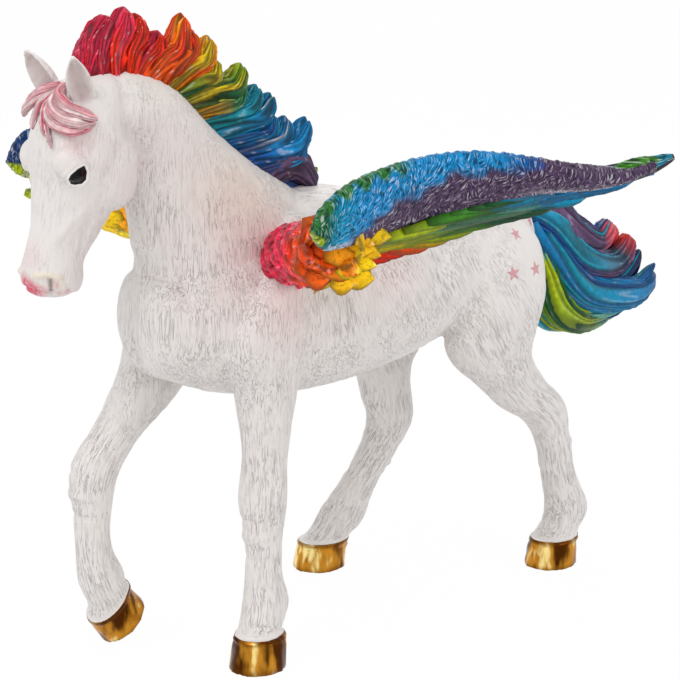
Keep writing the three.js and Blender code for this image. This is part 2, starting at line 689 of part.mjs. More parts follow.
function wingRootTufts(side) {
  const start = onWing(wingRoot, side);
  const end = onWing(wingBend, side);
  const tangent = end.clone().sub(start).normalize();
  const across = new THREE.Vector3().crossVectors(tangent, new THREE.Vector3(0, 0, 1)).normalize();
  const up = new THREE.Vector3().crossVectors(across, tangent);
  const tufts = [];
  for (let row = 0; row < rootTuftRows; row += 1) {
    const along = rootTuft.start + rootTuft.step * row;
    const height = THREE.MathUtils.lerp(wingArm.rootHeight, wingArm.bendHeight, along);
    const depth = THREE.MathUtils.lerp(wingArm.rootDepth, wingArm.bendDepth, along);
    for (let i = 0; i < rootTuftsPerRow; i += 1) {
      const angle = ((i + 0.5 * (row % 2) + rootTuft.turn) / rootTuftsPerRow) * 2 * Math.PI;
      const outward = up.clone().multiplyScalar(Math.cos(angle))
        .addScaledVector(across, Math.sin(angle));
      const base = start.clone().lerp(end, along)
        .addScaledVector(up, Math.cos(angle) * (height - rootTuft.sink))
        .addScaledVector(across, Math.sin(angle) * (depth - rootTuft.sink));
      const point = base.clone().addScaledVector(tangent, rootTuft.length)
        .addScaledVector(outward, -rootTuft.dip);
      tufts.push(featherFrom(base, point, outward, rootTuft));
    }
  }
  return joined(tufts);
}

function wingForm(side) {
  return joined([wingBandForm(side), wingArmForm(side), wingVaneForm(side), wingFeathers(side),
    wingPrimaries(side), wingRootTufts(side)]);
}

// Mane, forelock and tail forms
function maneForm() {
  const crest = curveThrough(crestLine.map(vector));
  const rings = [];
  for (let i = 0; i <= maneRidge.steps; i += 1) {
    const along = i / maneRidge.steps;
    const tangent = crest.getTangent(along);
    const up = new THREE.Vector3().crossVectors(xAxis, tangent).normalize();
    const swell = THREE.MathUtils.lerp(maneRidge.from, maneRidge.to, along);
    const share = Math.sin(Math.PI * swell) ** maneRidge.fullness;
    const middle = crest.getPoint(along)
      .addScaledVector(up, (maneRidge.height - maneRidge.depth) / 2);
    rings.push(ovalRing(middle, xAxis.clone().multiplyScalar(maneRidge.half * share),
      up.multiplyScalar((maneRidge.height + maneRidge.depth) / 2 * share), ridgeSides));
  }
  const parts = [solid(skin(rings))];
  for (const { along, tip, side } of maneLocks) {
    const root = crest.getPoint(along);
    const back = crest.getTangent(along);
    const up = new THREE.Vector3().crossVectors(xAxis, back).normalize();
    const end = new THREE.Vector3(side, tip[0], tip[1]);
    const waist = root.clone().lerp(end, maneLock.waist).addScaledVector(up, maneLock.bow)
      .addScaledVector(xAxis, side);
    const shoulder = root.clone().lerp(end, maneLock.shoulder)
      .addScaledVector(up, -maneLock.dip);
    root.addScaledVector(up, -maneLock.sink).addScaledVector(xAxis, side * maneLock.spread);
    parts.push(blade(curveThrough([root, waist, shoulder, end]), xAxis, maneLock.width,
      maneLock.thickness, lockProfile, lockSides));
  }
  return joined(parts);
}

function forelockForm() {
  const face = vector(forelockFace);
  const parts = forelockLocks.map(({ path, width }, i) => {
    const root = vector(forelockRoot).addScaledVector(xAxis, path[0][0] * forelockFan.spread);
    root.y += forelockFan.step * i;
    return blade(curveThrough([root, ...path.map(vector)]), face, width, forelockThickness,
      lockProfile, forelockSides);
  });
  return joined(parts);
}

function tailForm() {
  const root = vector(dock);
  const parts = tailLocks.map(({ path, half }, i) => {
    const start = root.clone().addScaledVector(vector(tailLock.startStep), i);
    const points = [start, ...path.map((step) => root.clone().add(vector(step)))];
    return blade(curveThrough(points), xAxis, half * 2, half * 2 * tailLock.flatness,
      lockProfile, tailSides);
  });
  return joined(parts);
}

// The pieces
const finishes = {
  body: { color: 0xf2f0ec, roughness: 0.6 },
  wing: { color: 0x2a78c8, roughness: 0.4 },
  mane: { color: 0xd8485c, roughness: 0.35 },
  forelock: { color: 0xe59aa4, roughness: 0.45 },
  tail: { color: 0x1a8cc4, roughness: 0.35 },
};

function painted(name, shape, finish) {
  const material = new THREE.MeshStandardMaterial(finish);
  const mesh = new THREE.Mesh(geometryOf(shape), material);
  mesh.name = name;
  return mesh;
}

const body = bodyForm(0);
const clearBody = bodyForm(seamGap);

const neckUp = seamNormal(neckSeam);
const headUp = seamNormal(headSeam);
const neckPeg = { at: vector(neckSeam.at), direction: neckUp.clone().negate() };
const headPeg = { at: vector(headSeam.at), direction: headUp.clone().negate() };
const legPegs = Object.fromEntries(Object.entries(legPoses).map(([name, leg]) => [name, {
  at: vector(leg.seam.at), direction: seamNormal(leg.seam),
}]));
const wingPegs = {
  left_wing: { at: onWing(wingPegAt, 1), direction: new THREE.Vector3(-1, 0, 0) },
  right_wing: { at: onWing(wingPegAt, -1), direction: new THREE.Vector3(1, 0, 0) },
};
const tailPeg = {
  at: vector(dock).add(vector(tailPegStep)), direction: new THREE.Vector3(0, -1, 0),
};

function withPeg(shape, { at, direction }) {
  return shape.add(peg(at, direction, 0));
}

function withSocket(shape, { at, direction }) {
  return shape.subtract(peg(at, direction, socketGap));
}

function largest(shape) {
  return shape.decompose().sort((a, b) => b.volume() - a.volume())[0];
}

function torso() {
  let shape = body.subtract(beyond(neckSeam, 1, 0));
  for (const leg of Object.values(legPoses)) {
    shape = shape.subtract(legBlock(leg, 0));
  }
  shape = largest(shape);
  for (const one of [neckPeg, ...Object.values(legPegs), ...Object.values(wingPegs), tailPeg]) {
    shape = withSocket(shape, one);
  }
  return shape;
}

const group = new THREE.Group();
group.add(painted('torso', torso(), finishes.body));

const neckShape = largest(body.intersect(beyond(neckSeam, 1, seamGap))
  .subtract(beyond(headSeam, 1, 0)));
const neckWithPeg = withPeg(neckShape, neckPeg);
group.add(painted('neck', withSocket(neckWithPeg, headPeg), finishes.body));

let headShape = largest(body.intersect(beyond(headSeam, 1, seamGap)));
for (const side of [1, -1]) {
  headShape = headShape.subtract(earBowl(side));
  headShape = headShape.subtract(ellipsoid(mirrored(nostril.at, side), nostril.size, 0));
}
group.add(painted('head', withPeg(headShape, headPeg), finishes.body));

for (const [name, leg] of Object.entries(legPoses)) {
  const shape = largest(body.intersect(legBlock(leg, seamGap)));
  group.add(painted(name, withPeg(shape, legPegs[name]), finishes.body));
}

for (const [name, side] of [['left_wing', 1], ['right_wing', -1]]) {
  const shape = largest(wingForm(side).subtract(clearBody));
  group.add(painted(name, withPeg(shape, wingPegs[name]), finishes.wing));
}

const maneShape = maneForm().subtract(clearBody).subtract(beyond(hairPart, 1, 0));
group.add(painted('mane', largest(maneShape), finishes.mane));
const forelockShape = forelockForm().subtract(clearBody).intersect(beyond(hairPart, 1, seamGap));
group.add(painted('forelock', largest(forelockShape), finishes.forelock));
const tailShape = largest(tailForm().subtract(clearBody));
group.add(painted('tail', withPeg(tailShape, tailPeg), finishes.tail));

// The origin is under the middle of the figurine, on the ground
group.updateMatrixWorld(true);
const bounds = new THREE.Box3().setFromObject(group, true);
const middle = bounds.getCenter(new THREE.Vector3());
group.position.set(-middle.x, -middle.y, -bounds.min.z);

export default group;
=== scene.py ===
# Winged horse figurine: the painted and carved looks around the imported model.
# Lengths are millimetres in the horse's own layout (x to its left, y towards the tail, z up)
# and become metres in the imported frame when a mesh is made.
import math

import bpy
import numpy as np
from mathutils import Matrix, Vector


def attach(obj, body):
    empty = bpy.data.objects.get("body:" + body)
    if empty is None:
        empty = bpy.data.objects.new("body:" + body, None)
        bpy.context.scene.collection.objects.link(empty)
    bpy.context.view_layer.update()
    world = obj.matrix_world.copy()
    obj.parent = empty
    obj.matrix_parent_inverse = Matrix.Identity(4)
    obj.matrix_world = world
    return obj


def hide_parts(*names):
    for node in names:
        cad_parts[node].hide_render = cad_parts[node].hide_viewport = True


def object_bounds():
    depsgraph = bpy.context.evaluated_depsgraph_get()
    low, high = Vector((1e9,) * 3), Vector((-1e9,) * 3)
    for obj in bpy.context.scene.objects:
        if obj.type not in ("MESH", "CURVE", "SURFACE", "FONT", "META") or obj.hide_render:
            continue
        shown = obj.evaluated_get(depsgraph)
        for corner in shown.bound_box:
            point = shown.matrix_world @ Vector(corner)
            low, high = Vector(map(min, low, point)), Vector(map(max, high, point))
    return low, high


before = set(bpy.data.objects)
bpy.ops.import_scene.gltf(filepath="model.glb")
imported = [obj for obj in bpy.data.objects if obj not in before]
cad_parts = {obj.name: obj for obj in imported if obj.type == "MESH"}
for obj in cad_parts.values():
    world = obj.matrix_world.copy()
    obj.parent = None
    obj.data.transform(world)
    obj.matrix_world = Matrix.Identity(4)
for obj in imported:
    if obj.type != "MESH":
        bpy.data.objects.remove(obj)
cad_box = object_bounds()

MM = 0.001
# Where the layout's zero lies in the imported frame
LAYOUT_SHIFT = np.array([0.0091, -10.1086, 0.0])
IMAGE_SIZE = 680
SENSOR = 36.0

# The view of the photograph
VIEW_AZIMUTH = 51.0
VIEW_ELEVATION = 14.0
VIEW_DISTANCE = 380.0
VIEW_TARGET = (0.0, 0.0, 55.0)
VIEW_FOCAL_PIXELS = 1886.0
VIEW_CENTRE = (342.0, 344.0)

# Light from all round, and the lamps in metres and watts: name, place, aim, size, power
ROOM_LIGHT = 0.8
LAMPS = [
    ("key", (0.10, -0.45, 0.55), (0, 0, 0.06), 0.30, 1.2),
    ("side", (0.60, 0.25, 0.30), (0, 0, 0.06), 0.30, 0.7),
    ("rim", (-0.4, 0.3, 0.5), (0, 0, 0.07), 0.4, 1.0),
]
# Half the floor's side in metres, its paint, and how white it is seen where no shadow falls
FLOOR_HALF = 3.0
FLOOR_COLOUR = (0.9, 0.9, 0.9, 1)
FLOOR_GLOW = 0.975
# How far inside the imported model's box the looks stay, in metres
BOX_MARGIN = 1e-6

# Voxel size of the carved white body, and how far its forms are melted together
BODY_VOXEL = 0.41
BODY_MELT = 14


# Steps round a ball and from pole to pole, and how far its poles are cut off, in radians
BALL_STEPS = 24
BALL_POLE = 0.04


# The horse's forms
# Trunk sections: y, level, half width, up, down
TRUNK = [
    (-50, 67, 3, 5, 5), (-47.5, 66.5, 8.5, 10, 9.5), (-42, 66, 12, 14, 11.5),
    (-32, 67, 14.4, 17, 16.3), (-18, 67, 15.6, 21, 18.7), (-5, 66.5, 16.6, 21.5, 18.2),
    (9, 67, 17, 18, 16.6), (21, 67.5, 15.8, 17.2, 13.8), (33, 68, 15, 17.6, 11.5),
    (40.4, 68, 12.4, 16.2, 11.5), (45.6, 68.4, 8.8, 13.4, 10), (49, 68.6, 4.6, 10, 6.5),
    (50.2, 68.6, 1.8, 7, 3),
]
# Neck and head sections: y, z, half width, front, back, tilt
NECK = [
    (-25, 71, 12.6, 23, 21, -25), (-30.5, 79.5, 11.2, 19, 19.5, -25),
    (-36, 87.5, 9, 14.5, 14.5, -31), (-41.4, 95, 7.4, 11, 11.6, -40),
    (-46.4, 101.6, 6.7, 9.4, 10.4, -58), (-52, 105, 6.4, 8, 9, -82), (-56.5, 105.5, 5, 6, 7, -95),
]
HEAD = [
    (-55, 113.2, 2.6, 3, 2.6, 8), (-56.4, 110.6, 5.8, 6, 5.5, 10), (-58.6, 105, 7.8, 8.2, 8, 14),
    (-60.4, 98.4, 8.4, 8.8, 9, 17), (-61.6, 91.8, 6.8, 7.4, 8.2, 17), (-63.6, 86, 5.3, 5.9, 6.6, 16),
    (-65.4, 81.6, 4.9, 5.3, 5.4, 14), (-66.4, 78.2, 5.2, 5.4, 6, 10), (-66.6, 75.8, 4.6, 4.6, 5.4, 4),
    (-66.4, 74.4, 2.6, 2.6, 3, 0),
]
# Lumps of the head on the left side: middle, half sizes
CHEEK = ((4.6, -56.4, 96.2), (3.6, 6.2, 7.2))
BROW = ((5.6, -64.2, 98.6), (2.8, 4.0, 3.6))
EYE = ((6.9, -64.8, 96.8), (1.4, 2.2, 1.5))
EAR_ROOT = np.array([4.7, -61.2, 108.4])
EAR_TIP = np.array([8.0, -65.2, 116.9])
# An ear: shares of its height and its width there, the way its bowl looks on the left and on
# the right, its half width there, and its thickness before and behind its middle
EAR_SHAPE = [(-0.2, 0.62), (0.0, 0.72), (0.2, 0.92), (0.45, 1.0), (0.7, 0.78), (0.88, 0.4), (1.0, 0.1)]
EAR_FACES = {1: np.array([0.9, -0.6, 0.2]), -1: np.array([0.1, -0.97, 0.2])}
EAR_HALF = {1: 2.3, -1: 2.75}
EAR_FRONT = 1.1
EAR_BACK = 1.7
# Points round an ear
EAR_SIDES = 24
# How deep the ear's bowl is pressed in, and the bowl's share of the ear's width
EAR_BOWL = 1.9
EAR_BOWL_WIDTH = 0.86

FORELEG = [
    (3, 4, 4), (5.6, 8.6, 8.6), (5.8, 11, 10), (5.6, 9, 9), (5, 6.2, 7), (4.1, 4.5, 4.6),
    (4.4, 5.1, 4.5), (3.4, 3.8, 3.8), (3.3, 3.5, 3.6), (3.9, 4.2, 4.9), (3.9, 4.2, 4),
]
HIND_LEG = [
    (2.4, 5, 4), (6, 13, 8), (6.6, 16, 8.2), (6.2, 14.4, 8.8), (4.9, 7.6, 7.2), (4, 6.2, 6.2),
    (3.9, 5.2, 6.2), (3.2, 4.2, 4.9), (3, 4.1, 4.3), (3.8, 4.7, 6), (3.8, 4.6, 4.6),
]
FORE_HOOF = (5.3, 5.6, 5.1, 5.6)
HIND_HOOF = (5.2, 6.0, 5.6, 5.2)
HOOF_CROWN = 0.93
HOOF_LEAN = 0.12
# How far the gold reaches above the hoof's crown
GOLD_RISE = 0.9

# Legs: section sizes, hoof, joints [x, y, z, tilt], sole, sole tilt, and the seam at the top
LEGS = {
    "left_foreleg": {
        "side": 1, "sizes": FORELEG, "hoof": FORE_HOOF, "sole": (16, -33.6, 0), "sole_tilt": 0,
        "joints": [
            (8.6, -17, 85, 0), (11.2, -22.5, 77, -20), (12, -27, 67.5, -20), (11.2, -27.5, 59, -8),
            (10.6, -27.4, 52, 0), (11, -27.8, 40, 0), (11.6, -28.6, 31.5, 0), (12.2, -29.2, 24, 0),
            (12.8, -29.9, 17, 0), (13.6, -30.4, 11.4, 5), (15, -32.2, 7.2, 12),
        ],
        "seam": (-27, 46.5, 0),
    },
    "right_foreleg": {
        "side": -1, "sizes": FORELEG, "hoof": FORE_HOOF, "sole": (-12.4, -45.8, 3.9),
        "sole_tilt": -44,
        "joints": [
            (-8.6, -18, 85, 0), (-11.2, -25, 77, -22), (-12, -30.5, 68, -24),
            (-11.4, -34.5, 60, 12), (-11, -40, 51.5, 30), (-10.8, -46.8, 43.4, 30),
            (-10.8, -52, 36, 12), (-10.8, -53, 28, 0), (-10.8, -53, 21, 0), (-10.8, -52, 14.8, -8),
            (-11.2, -50, 10.4, -24),
        ],
        "seam": (-43.6, 47.2, 30),
    },
    "left_hind_leg": {
        "side": 1, "sizes": HIND_LEG, "hoof": HIND_HOOF, "sole": (11.4, 49.8, 0), "sole_tilt": 0,
        "joints": [
            (8.4, 33.5, 79.6, 0), (10.2, 35, 73, 0), (11.4, 35.5, 63, 0), (11, 33.5, 54, -8),
            (10.4, 35.2, 46.5, -22), (10, 41, 40, -24), (10, 47.4, 34.4, -12), (10, 50.4, 28, -2),
            (10, 52.4, 20, -2), (10.4, 54.4, 12, 6), (11, 52.6, 7.8, 18),
        ],
        "seam": (35.4, 48, -16),
    },
    "right_hind_leg": {
        "side": -1, "sizes": HIND_LEG, "hoof": HIND_HOOF, "sole": (-19.4, 9.4, 0), "sole_tilt": 0,
        "joints": [
            (-8.4, 31.5, 79.6, 0), (-10.2, 32.5, 73, 0), (-11.4, 30.5, 63, 0),
            (-11.2, 24.5, 54, 8), (-11.4, 20.8, 46, 2), (-12, 21.8, 39, -8), (-13, 23.4, 32.4, 8),
            (-14.4, 21.6, 26, 22), (-16, 17.8, 18.5, 24), (-17.8, 14, 11.4, 22),
            (-18.6, 11.6, 7.4, 18),
        ],
        "seam": (20.6, 47, 4),
    },
}
# Seams of the neck and the head: y, z and tilt of the plane
NECK_SEAM = (-33.5, 83.0, -27.0)
HEAD_SEAM = (-51.2, 104.0, -84.0)


# Small tools

def curve_at(points, along):
    """Points of a smooth curve through the given ones, at shares along it from 0 to 1."""
    points = np.asarray(points, float)
    padded = np.vstack([points[:1], points, points[-1:]])
    place = np.clip(np.asarray(along, float) * (len(points) - 1), 0, len(points) - 1 - 1e-9)
    index = place.astype(int)
    t = (place - index)[:, None]
    a, b, c, d = (padded[index + step] for step in range(4))
    return 0.5 * (2 * b + (c - a) * t + (2 * a - 5 * b + 4 * c - d) * t * t
                  + (3 * b - a - 3 * c + d) * t ** 3)


def smooth_rows(rows, per_span):
    """Rows of numbers with smooth ones between them."""
    return curve_at(rows, np.linspace(0, 1, (len(rows) - 1) * per_span + 1))


def grid_faces(rings, sides):
    """Quads of a closed tube of rings, with a fan at each end whose middle points come last."""
    faces = []
    for r in range(rings - 1):
        for s in range(sides):
            a, b = r * sides + s, r * sides + (s + 1) % sides
            faces.append((a, b, b + sides, a + sides))
    first, last = rings * sides, rings * sides + 1
    for s in range(sides):
        t = (s + 1) % sides
        faces.append((first, t, s))
        faces.append((last, (rings - 1) * sides + s, (rings - 1) * sides + t))
    return faces


def signed_volume(points, faces):
    """The volume that closed faces hold, below zero when they look inwards."""
    total = 0.0
    for corners in (3, 4):
        chosen = np.array([face for face in faces if len(face) == corners])
        for last in range(2, corners):
            a, b, c = (points[chosen[:, i]] for i in (0, last - 1, last))
            total += (a * np.cross(b, c)).sum() / 6
    return total


def closed_tube(rings):
    """Points and outward faces of a tube through rings shaped (count, sides, 3)."""
    count, sides = rings.shape[:2]
    points = np.vstack([rings.reshape(-1, 3), rings[0].mean(0), rings[-1].mean(0)])
    faces = grid_faces(count, sides)
    if signed_volume(points - points.mean(0), faces) < 0:
        faces = [face[::-1] for face in faces]
    return points, faces


def full_turn(sides):
    """Equal steps once round, in radians."""
    return np.arange(sides) / sides * 2 * math.pi


def unit_rows(vectors):
    """Each row of vectors at length 1."""
    return vectors / np.linalg.norm(vectors, axis=1)[:, None]


def section_rings(rows, sides):
    """Rings from rows of x, y, z, half width, front, back, tilt."""
    angle = full_turn(sides)
    rings = []
    for x, y, z, half, front, back, tilt in rows:
        lift = math.radians(tilt)
        forward = np.array([0.0, -math.cos(lift), math.sin(lift)])
        reach = np.where(np.sin(angle) > 0, front, back) * np.sin(angle)
        ring = np.array([x, y, z]) + np.outer(np.cos(angle) * half, [1, 0, 0])
        rings.append(ring + np.outer(reach, forward))
    return np.array(rings)


def ball(middle, half):
    """A closed ball of its own half size each way, with small flat poles."""
    rings = []
    around = full_turn(BALL_STEPS)
    for polar in np.linspace(BALL_POLE, math.pi - BALL_POLE, BALL_STEPS):
        rings.append(np.stack([
            middle[0] + half[0] * np.sin(polar) * np.cos(around),
            middle[1] + half[1] * np.sin(polar) * np.sin(around),
            middle[2] + half[2] * np.cos(polar) + 0 * around,
        ], 1))
    return closed_tube(np.array(rings))


def make_object(name, points, faces):
    """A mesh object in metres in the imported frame, from points in the layout."""
    mesh = bpy.data.meshes.new(name)
    mesh.from_pydata(((points + LAYOUT_SHIFT) * MM).tolist(), [], [tuple(f) for f in faces])
    mesh.shade_smooth()
    piece = bpy.data.objects.new(name, mesh)
    bpy.context.scene.collection.objects.link(piece)
    return piece


def applied(piece):
    """The object with its modifiers made into its mesh."""
    depsgraph = bpy.context.evaluated_depsgraph_get()
    mesh = bpy.data.meshes.new_from_object(piece.evaluated_get(depsgraph))
    old = piece.data
    piece.modifiers.clear()
    piece.data = mesh
    bpy.data.meshes.remove(old)
    return piece


def layout_points(mesh):
    flat = np.empty(len(mesh.vertices) * 3, np.float32)
    mesh.vertices.foreach_get("co", flat)
    return flat.reshape(-1, 3).astype(float) / MM - LAYOUT_SHIFT


def set_layout_points(mesh, points):
    flat = ((points + LAYOUT_SHIFT) * MM).astype(np.float32).ravel()
    mesh.vertices.foreach_set("co", flat)
    mesh.update()


def normals_of(mesh):
    flat = np.empty(len(mesh.vertices) * 3, np.float32)
    mesh.vertex_normals.foreach_get("vector", flat)
    return flat.reshape(-1, 3).astype(float)


def edges_of(mesh):
    flat = np.empty(len(mesh.edges) * 2, np.int32)
    mesh.edges.foreach_get("vertices", flat)
    return flat.reshape(-1, 2)


def melted(points, edges, rounds, weight=None):
    """Taubin smoothing: rounds off edges and keeps the volume."""
    count = len(points)
    ends = np.concatenate([edges[:, 0], edges[:, 1]])
    others = np.concatenate([edges[:, 1], edges[:, 0]])
    valence = np.maximum(np.bincount(ends, minlength=count), 1)
    weight = np.ones(count) if weight is None else weight
    for turn in range(rounds * 2):
        step = 0.5 if turn % 2 == 0 else -0.52
        mean = np.stack([
            np.bincount(ends, points[others, axis], minlength=count) / valence
            for axis in range(3)
        ], 1)
        points = points + (mean - points) * (step * weight)[:, None]
    return points


def lengths_along(path):
    """The length of a path up to each of its points."""
    return np.concatenate([[0], np.cumsum(np.linalg.norm(np.diff(path, axis=0), axis=1))])


def distance_to_path(points, path):
    """Distance from each point to a line of points, and the share along it."""
    path = np.asarray(path, float)
    best = np.full(len(points), 1e9)
    share = np.zeros(len(points))
    spans = len(path) - 1
    for i in range(spans):
        start, run = path[i], path[i + 1] - path[i]
        t = np.clip((points - start) @ run / max(run @ run, 1e-9), 0, 1)
        gap = np.linalg.norm(points - start - t[:, None] * run, axis=1)
        nearer = gap < best
        best[nearer] = gap[nearer]
        share[nearer] = (i + t[nearer]) / spans
    return best, share


def soft_step(value, low, high):
    """0 below low, 1 above high, and a smooth way between."""
    t = np.clip((value - low) / (high - low), 0, 1)
    return t * t * (3 - 2 * t)


def close_to_path(points, path, radius):
    """1 on a path, fading to 0 at about twice the radius."""
    gap, _share = distance_to_path(points, path)
    return np.exp(-(gap / radius) ** 2)


def folded(points):
    """The points with the body's right side laid over onto its left."""
    return np.column_stack([np.abs(points[:, 0]), points[:, 1:]])


def set_layer(mesh, name, values):
    """Gives each point of a mesh a number, or a vector, under a name."""
    values = np.ascontiguousarray(values, np.float32)
    kind, field = ("FLOAT", "value") if values.ndim == 1 else ("FLOAT_VECTOR", "vector")
    mesh.attributes.new(name, kind, "POINT").data.foreach_set(field, values.ravel())


class Carver:
    """Raises or presses a mesh's surface along paths, as a modelling tool does in wax."""

    def __init__(self, mesh):
        self.mesh = mesh
        self.points = layout_points(mesh)
        self.normals = normals_of(mesh)

    def stroke(self, path, width, height, both_sides=False):
        for side in ((1, -1) if both_sides else (1,)):
            line = np.asarray(path, float) * [side, 1, 1]
            near = np.all((self.points > line.min(0) - 2 * width)
                          & (self.points < line.max(0) + 2 * width), axis=1)
            index = np.where(near)[0]
            if not len(index):
                continue
            gap, share = distance_to_path(self.points[index], line)
            fade = np.clip(np.minimum(share, 1 - share) * 6, 0, 1) if len(line) > 2 else 1.0
            lift = height * np.exp(-(gap / (0.5 * width)) ** 2) * (0.35 + 0.65 * fade)
            self.points[index] += self.normals[index] * lift[:, None]

    def refresh(self):
        set_layout_points(self.mesh, self.points)
        self.normals = normals_of(self.mesh)


# Node trees

class Wires:
    """Short words for building a node tree."""

    def __init__(self, tree):
        self.nodes, self.links = tree.nodes, tree.links

    def link(self, value, socket):
        """Joins a socket to another one, or gives it a plain value."""
        if isinstance(value, bpy.types.NodeSocket):
            self.links.new(value, socket)
        else:
            socket.default_value = value

    def attribute(self, name, output="Fac"):
        node = self.nodes.new("ShaderNodeAttribute")
        node.attribute_name = name
        return node.outputs[output]

    def object_place(self):
        return self.nodes.new("ShaderNodeTexCoord").outputs["Object"]

    def math(self, operation, a, b=0.0, c=0.0):
        node = self.nodes.new("ShaderNodeMath")
        node.operation = operation
        for value, socket in zip((a, b, c), node.inputs):
            self.link(value, socket)
        return node.outputs[0]

    def scaled(self, vector, scale):
        """A vector with each of its parts multiplied by its own scale."""
        node = self.nodes.new("ShaderNodeVectorMath")
        node.operation = "MULTIPLY"
        self.link(vector, node.inputs[0])
        self.link(scale, node.inputs[1])
        return node.outputs[0]

    def spread(self, value, low, high, to_low=0.0, to_high=1.0, smooth=True):
        """A value's way from low to high, as a way from to_low to to_high."""
        node = self.nodes.new("ShaderNodeMapRange")
        node.interpolation_type = "SMOOTHSTEP" if smooth else "LINEAR"
        for part, socket in zip((value, low, high, to_low, to_high), node.inputs):
            self.link(part, socket)
        return node.outputs["Result"]

    def noise(self, vector, scale, detail=1.0):
        node = self.nodes.new("ShaderNodeTexNoise")
        self.link(vector, node.inputs["Vector"])
        node.inputs["Scale"].default_value = scale
        node.inputs["Detail"].default_value = detail
        return node.outputs["Fac"]

    def mix(self, share, a, b):
        """A mix of two colours."""
        node = self.nodes.new("ShaderNodeMix")
        node.data_type = "RGBA"
        self.link(share, node.inputs["Factor"])
        for value, socket in ((a, node.inputs["A"]), (b, node.inputs["B"])):
            if isinstance(value, bpy.types.NodeSocket):
                self.links.new(value, socket)
            else:
                socket.default_value = (*value, 1.0)
        return node.outputs["Result"]

    def blend(self, share, a, b):
        """A mix of two numbers."""
        node = self.nodes.new("ShaderNodeMix")
        node.data_type = "FLOAT"
        self.link(share, node.inputs["Factor"])
        self.link(a, node.inputs["A"])
        self.link(b, node.inputs["B"])
        return node.outputs["Result"]

    def both(self, share, first, second):
        """A mix of two shaders."""
        node = self.nodes.new("ShaderNodeMixShader")
        for value, socket in zip((share, first, second), node.inputs):
            self.link(value, socket)
        return node.outputs[0]

    def raised(self, shader, height, strength, distance):
        """Gives a shader's surface a fine relief."""
        bump = self.nodes.new("ShaderNodeBump")
        bump.inputs["Strength"].default_value = strength
        bump.inputs["Distance"].default_value = distance
        self.link(height, bump.inputs["Height"])
        self.link(bump.outputs["Normal"], shader.inputs["Normal"])


# View, light and floor

def view_axes():
    azimuth, elevation = math.radians(VIEW_AZIMUTH), math.radians(VIEW_ELEVATION)
    back = np.array([
        math.sin(azimuth) * math.cos(elevation), -math.cos(azimuth) * math.cos(elevation),
        math.sin(elevation),
    ])
    right = np.array([math.cos(azimuth), math.sin(azimuth), 0.0])
    return right, np.cross(back, right), back


def make_camera():
    right, up, back = view_axes()
    eye = (np.array(VIEW_TARGET) + back * VIEW_DISTANCE + LAYOUT_SHIFT) * MM
    data = bpy.data.cameras.new("photo_camera")
    data.sensor_width = SENSOR
    data.lens = SENSOR * VIEW_FOCAL_PIXELS / IMAGE_SIZE
    data.shift_x = -(VIEW_CENTRE[0] - IMAGE_SIZE / 2) / IMAGE_SIZE
    data.shift_y = (VIEW_CENTRE[1] - IMAGE_SIZE / 2) / IMAGE_SIZE
    data.clip_start = 0.01
    data.clip_end = 10.0
    camera = bpy.data.objects.new("photo_camera", data)
    camera.matrix_world = Matrix([
        (right[0], up[0], back[0], eye[0]), (right[1], up[1], back[1], eye[1]),
        (right[2], up[2], back[2], eye[2]), (0, 0, 0, 1),
    ])
    bpy.context.scene.collection.objects.link(camera)
    bpy.context.scene.camera = camera


def area_lamp(name, place, target, size, watts):
    data = bpy.data.lights.new(name, "AREA")
    data.size = size
    data.energy = watts
    lamp = bpy.data.objects.new(name, data)
    lamp.location = place
    aim = Vector(target) - Vector(place)
    lamp.rotation_euler = aim.to_track_quat("-Z", "Y").to_euler()
    bpy.context.scene.collection.objects.link(lamp)


def background_rays(wires):
    """1 for rays that see the background, straight or by way of metal or glass."""
    ray = wires.nodes.new("ShaderNodeLightPath").outputs
    mirrored = wires.math("MAXIMUM", ray["Is Glossy Ray"], ray["Is Transmission Ray"])
    return wires.math("MAXIMUM", ray["Is Camera Ray"], mirrored)


def white_room(wires, strength):
    node = wires.nodes.new("ShaderNodeBackground")
    node.inputs["Color"].default_value = (1.0, 1.0, 1.0, 1.0)
    node.inputs["Strength"].default_value = strength
    return node.outputs[0]


def make_light():
    """A softly lit room that is itself seen as plain white, and the lamps."""
    bpy.context.scene.view_settings.view_transform = "Standard"
    world = bpy.data.worlds.new("studio")
    bpy.context.scene.world = world
    world.use_nodes = True
    wires = Wires(world.node_tree)
    wires.nodes.clear()
    output = wires.nodes.new("ShaderNodeOutputWorld")
    room = wires.both(background_rays(wires), white_room(wires, ROOM_LIGHT),
                      white_room(wires, 1.0))
    wires.link(room, output.inputs["Surface"])
    for lamp in LAMPS:
        area_lamp(*lamp)


def make_floor():
    """A wide floor that keeps the figurine's shadow and is otherwise seen as the white room."""
    mesh = bpy.data.meshes.new("floor")
    corners = [(-1, -1), (1, -1), (1, 1), (-1, 1)]
    mesh.from_pydata([(FLOOR_HALF * x, FLOOR_HALF * y, 0) for x, y in corners],
                     [], [(0, 1, 2, 3)])
    floor = bpy.data.objects.new("floor", mesh)
    bpy.context.scene.collection.objects.link(floor)
    material = bpy.data.materials.new("pale_floor")
    material.use_nodes = True
    wires = Wires(material.node_tree)
    wires.nodes.clear()
    output = wires.nodes.new("ShaderNodeOutputMaterial")
    plain = wires.nodes.new("ShaderNodeBsdfDiffuse")
    plain.inputs["Color"].default_value = FLOOR_COLOUR
    glow = wires.nodes.new("ShaderNodeEmission")
    glow.inputs["Strength"].default_value = 1.0
    share = wires.math("MULTIPLY", background_rays(wires), FLOOR_GLOW)
    look = wires.both(share, plain.outputs[0], glow.outputs[0])
    wires.link(look, output.inputs["Surface"])
    mesh.materials.append(material)


# The white body

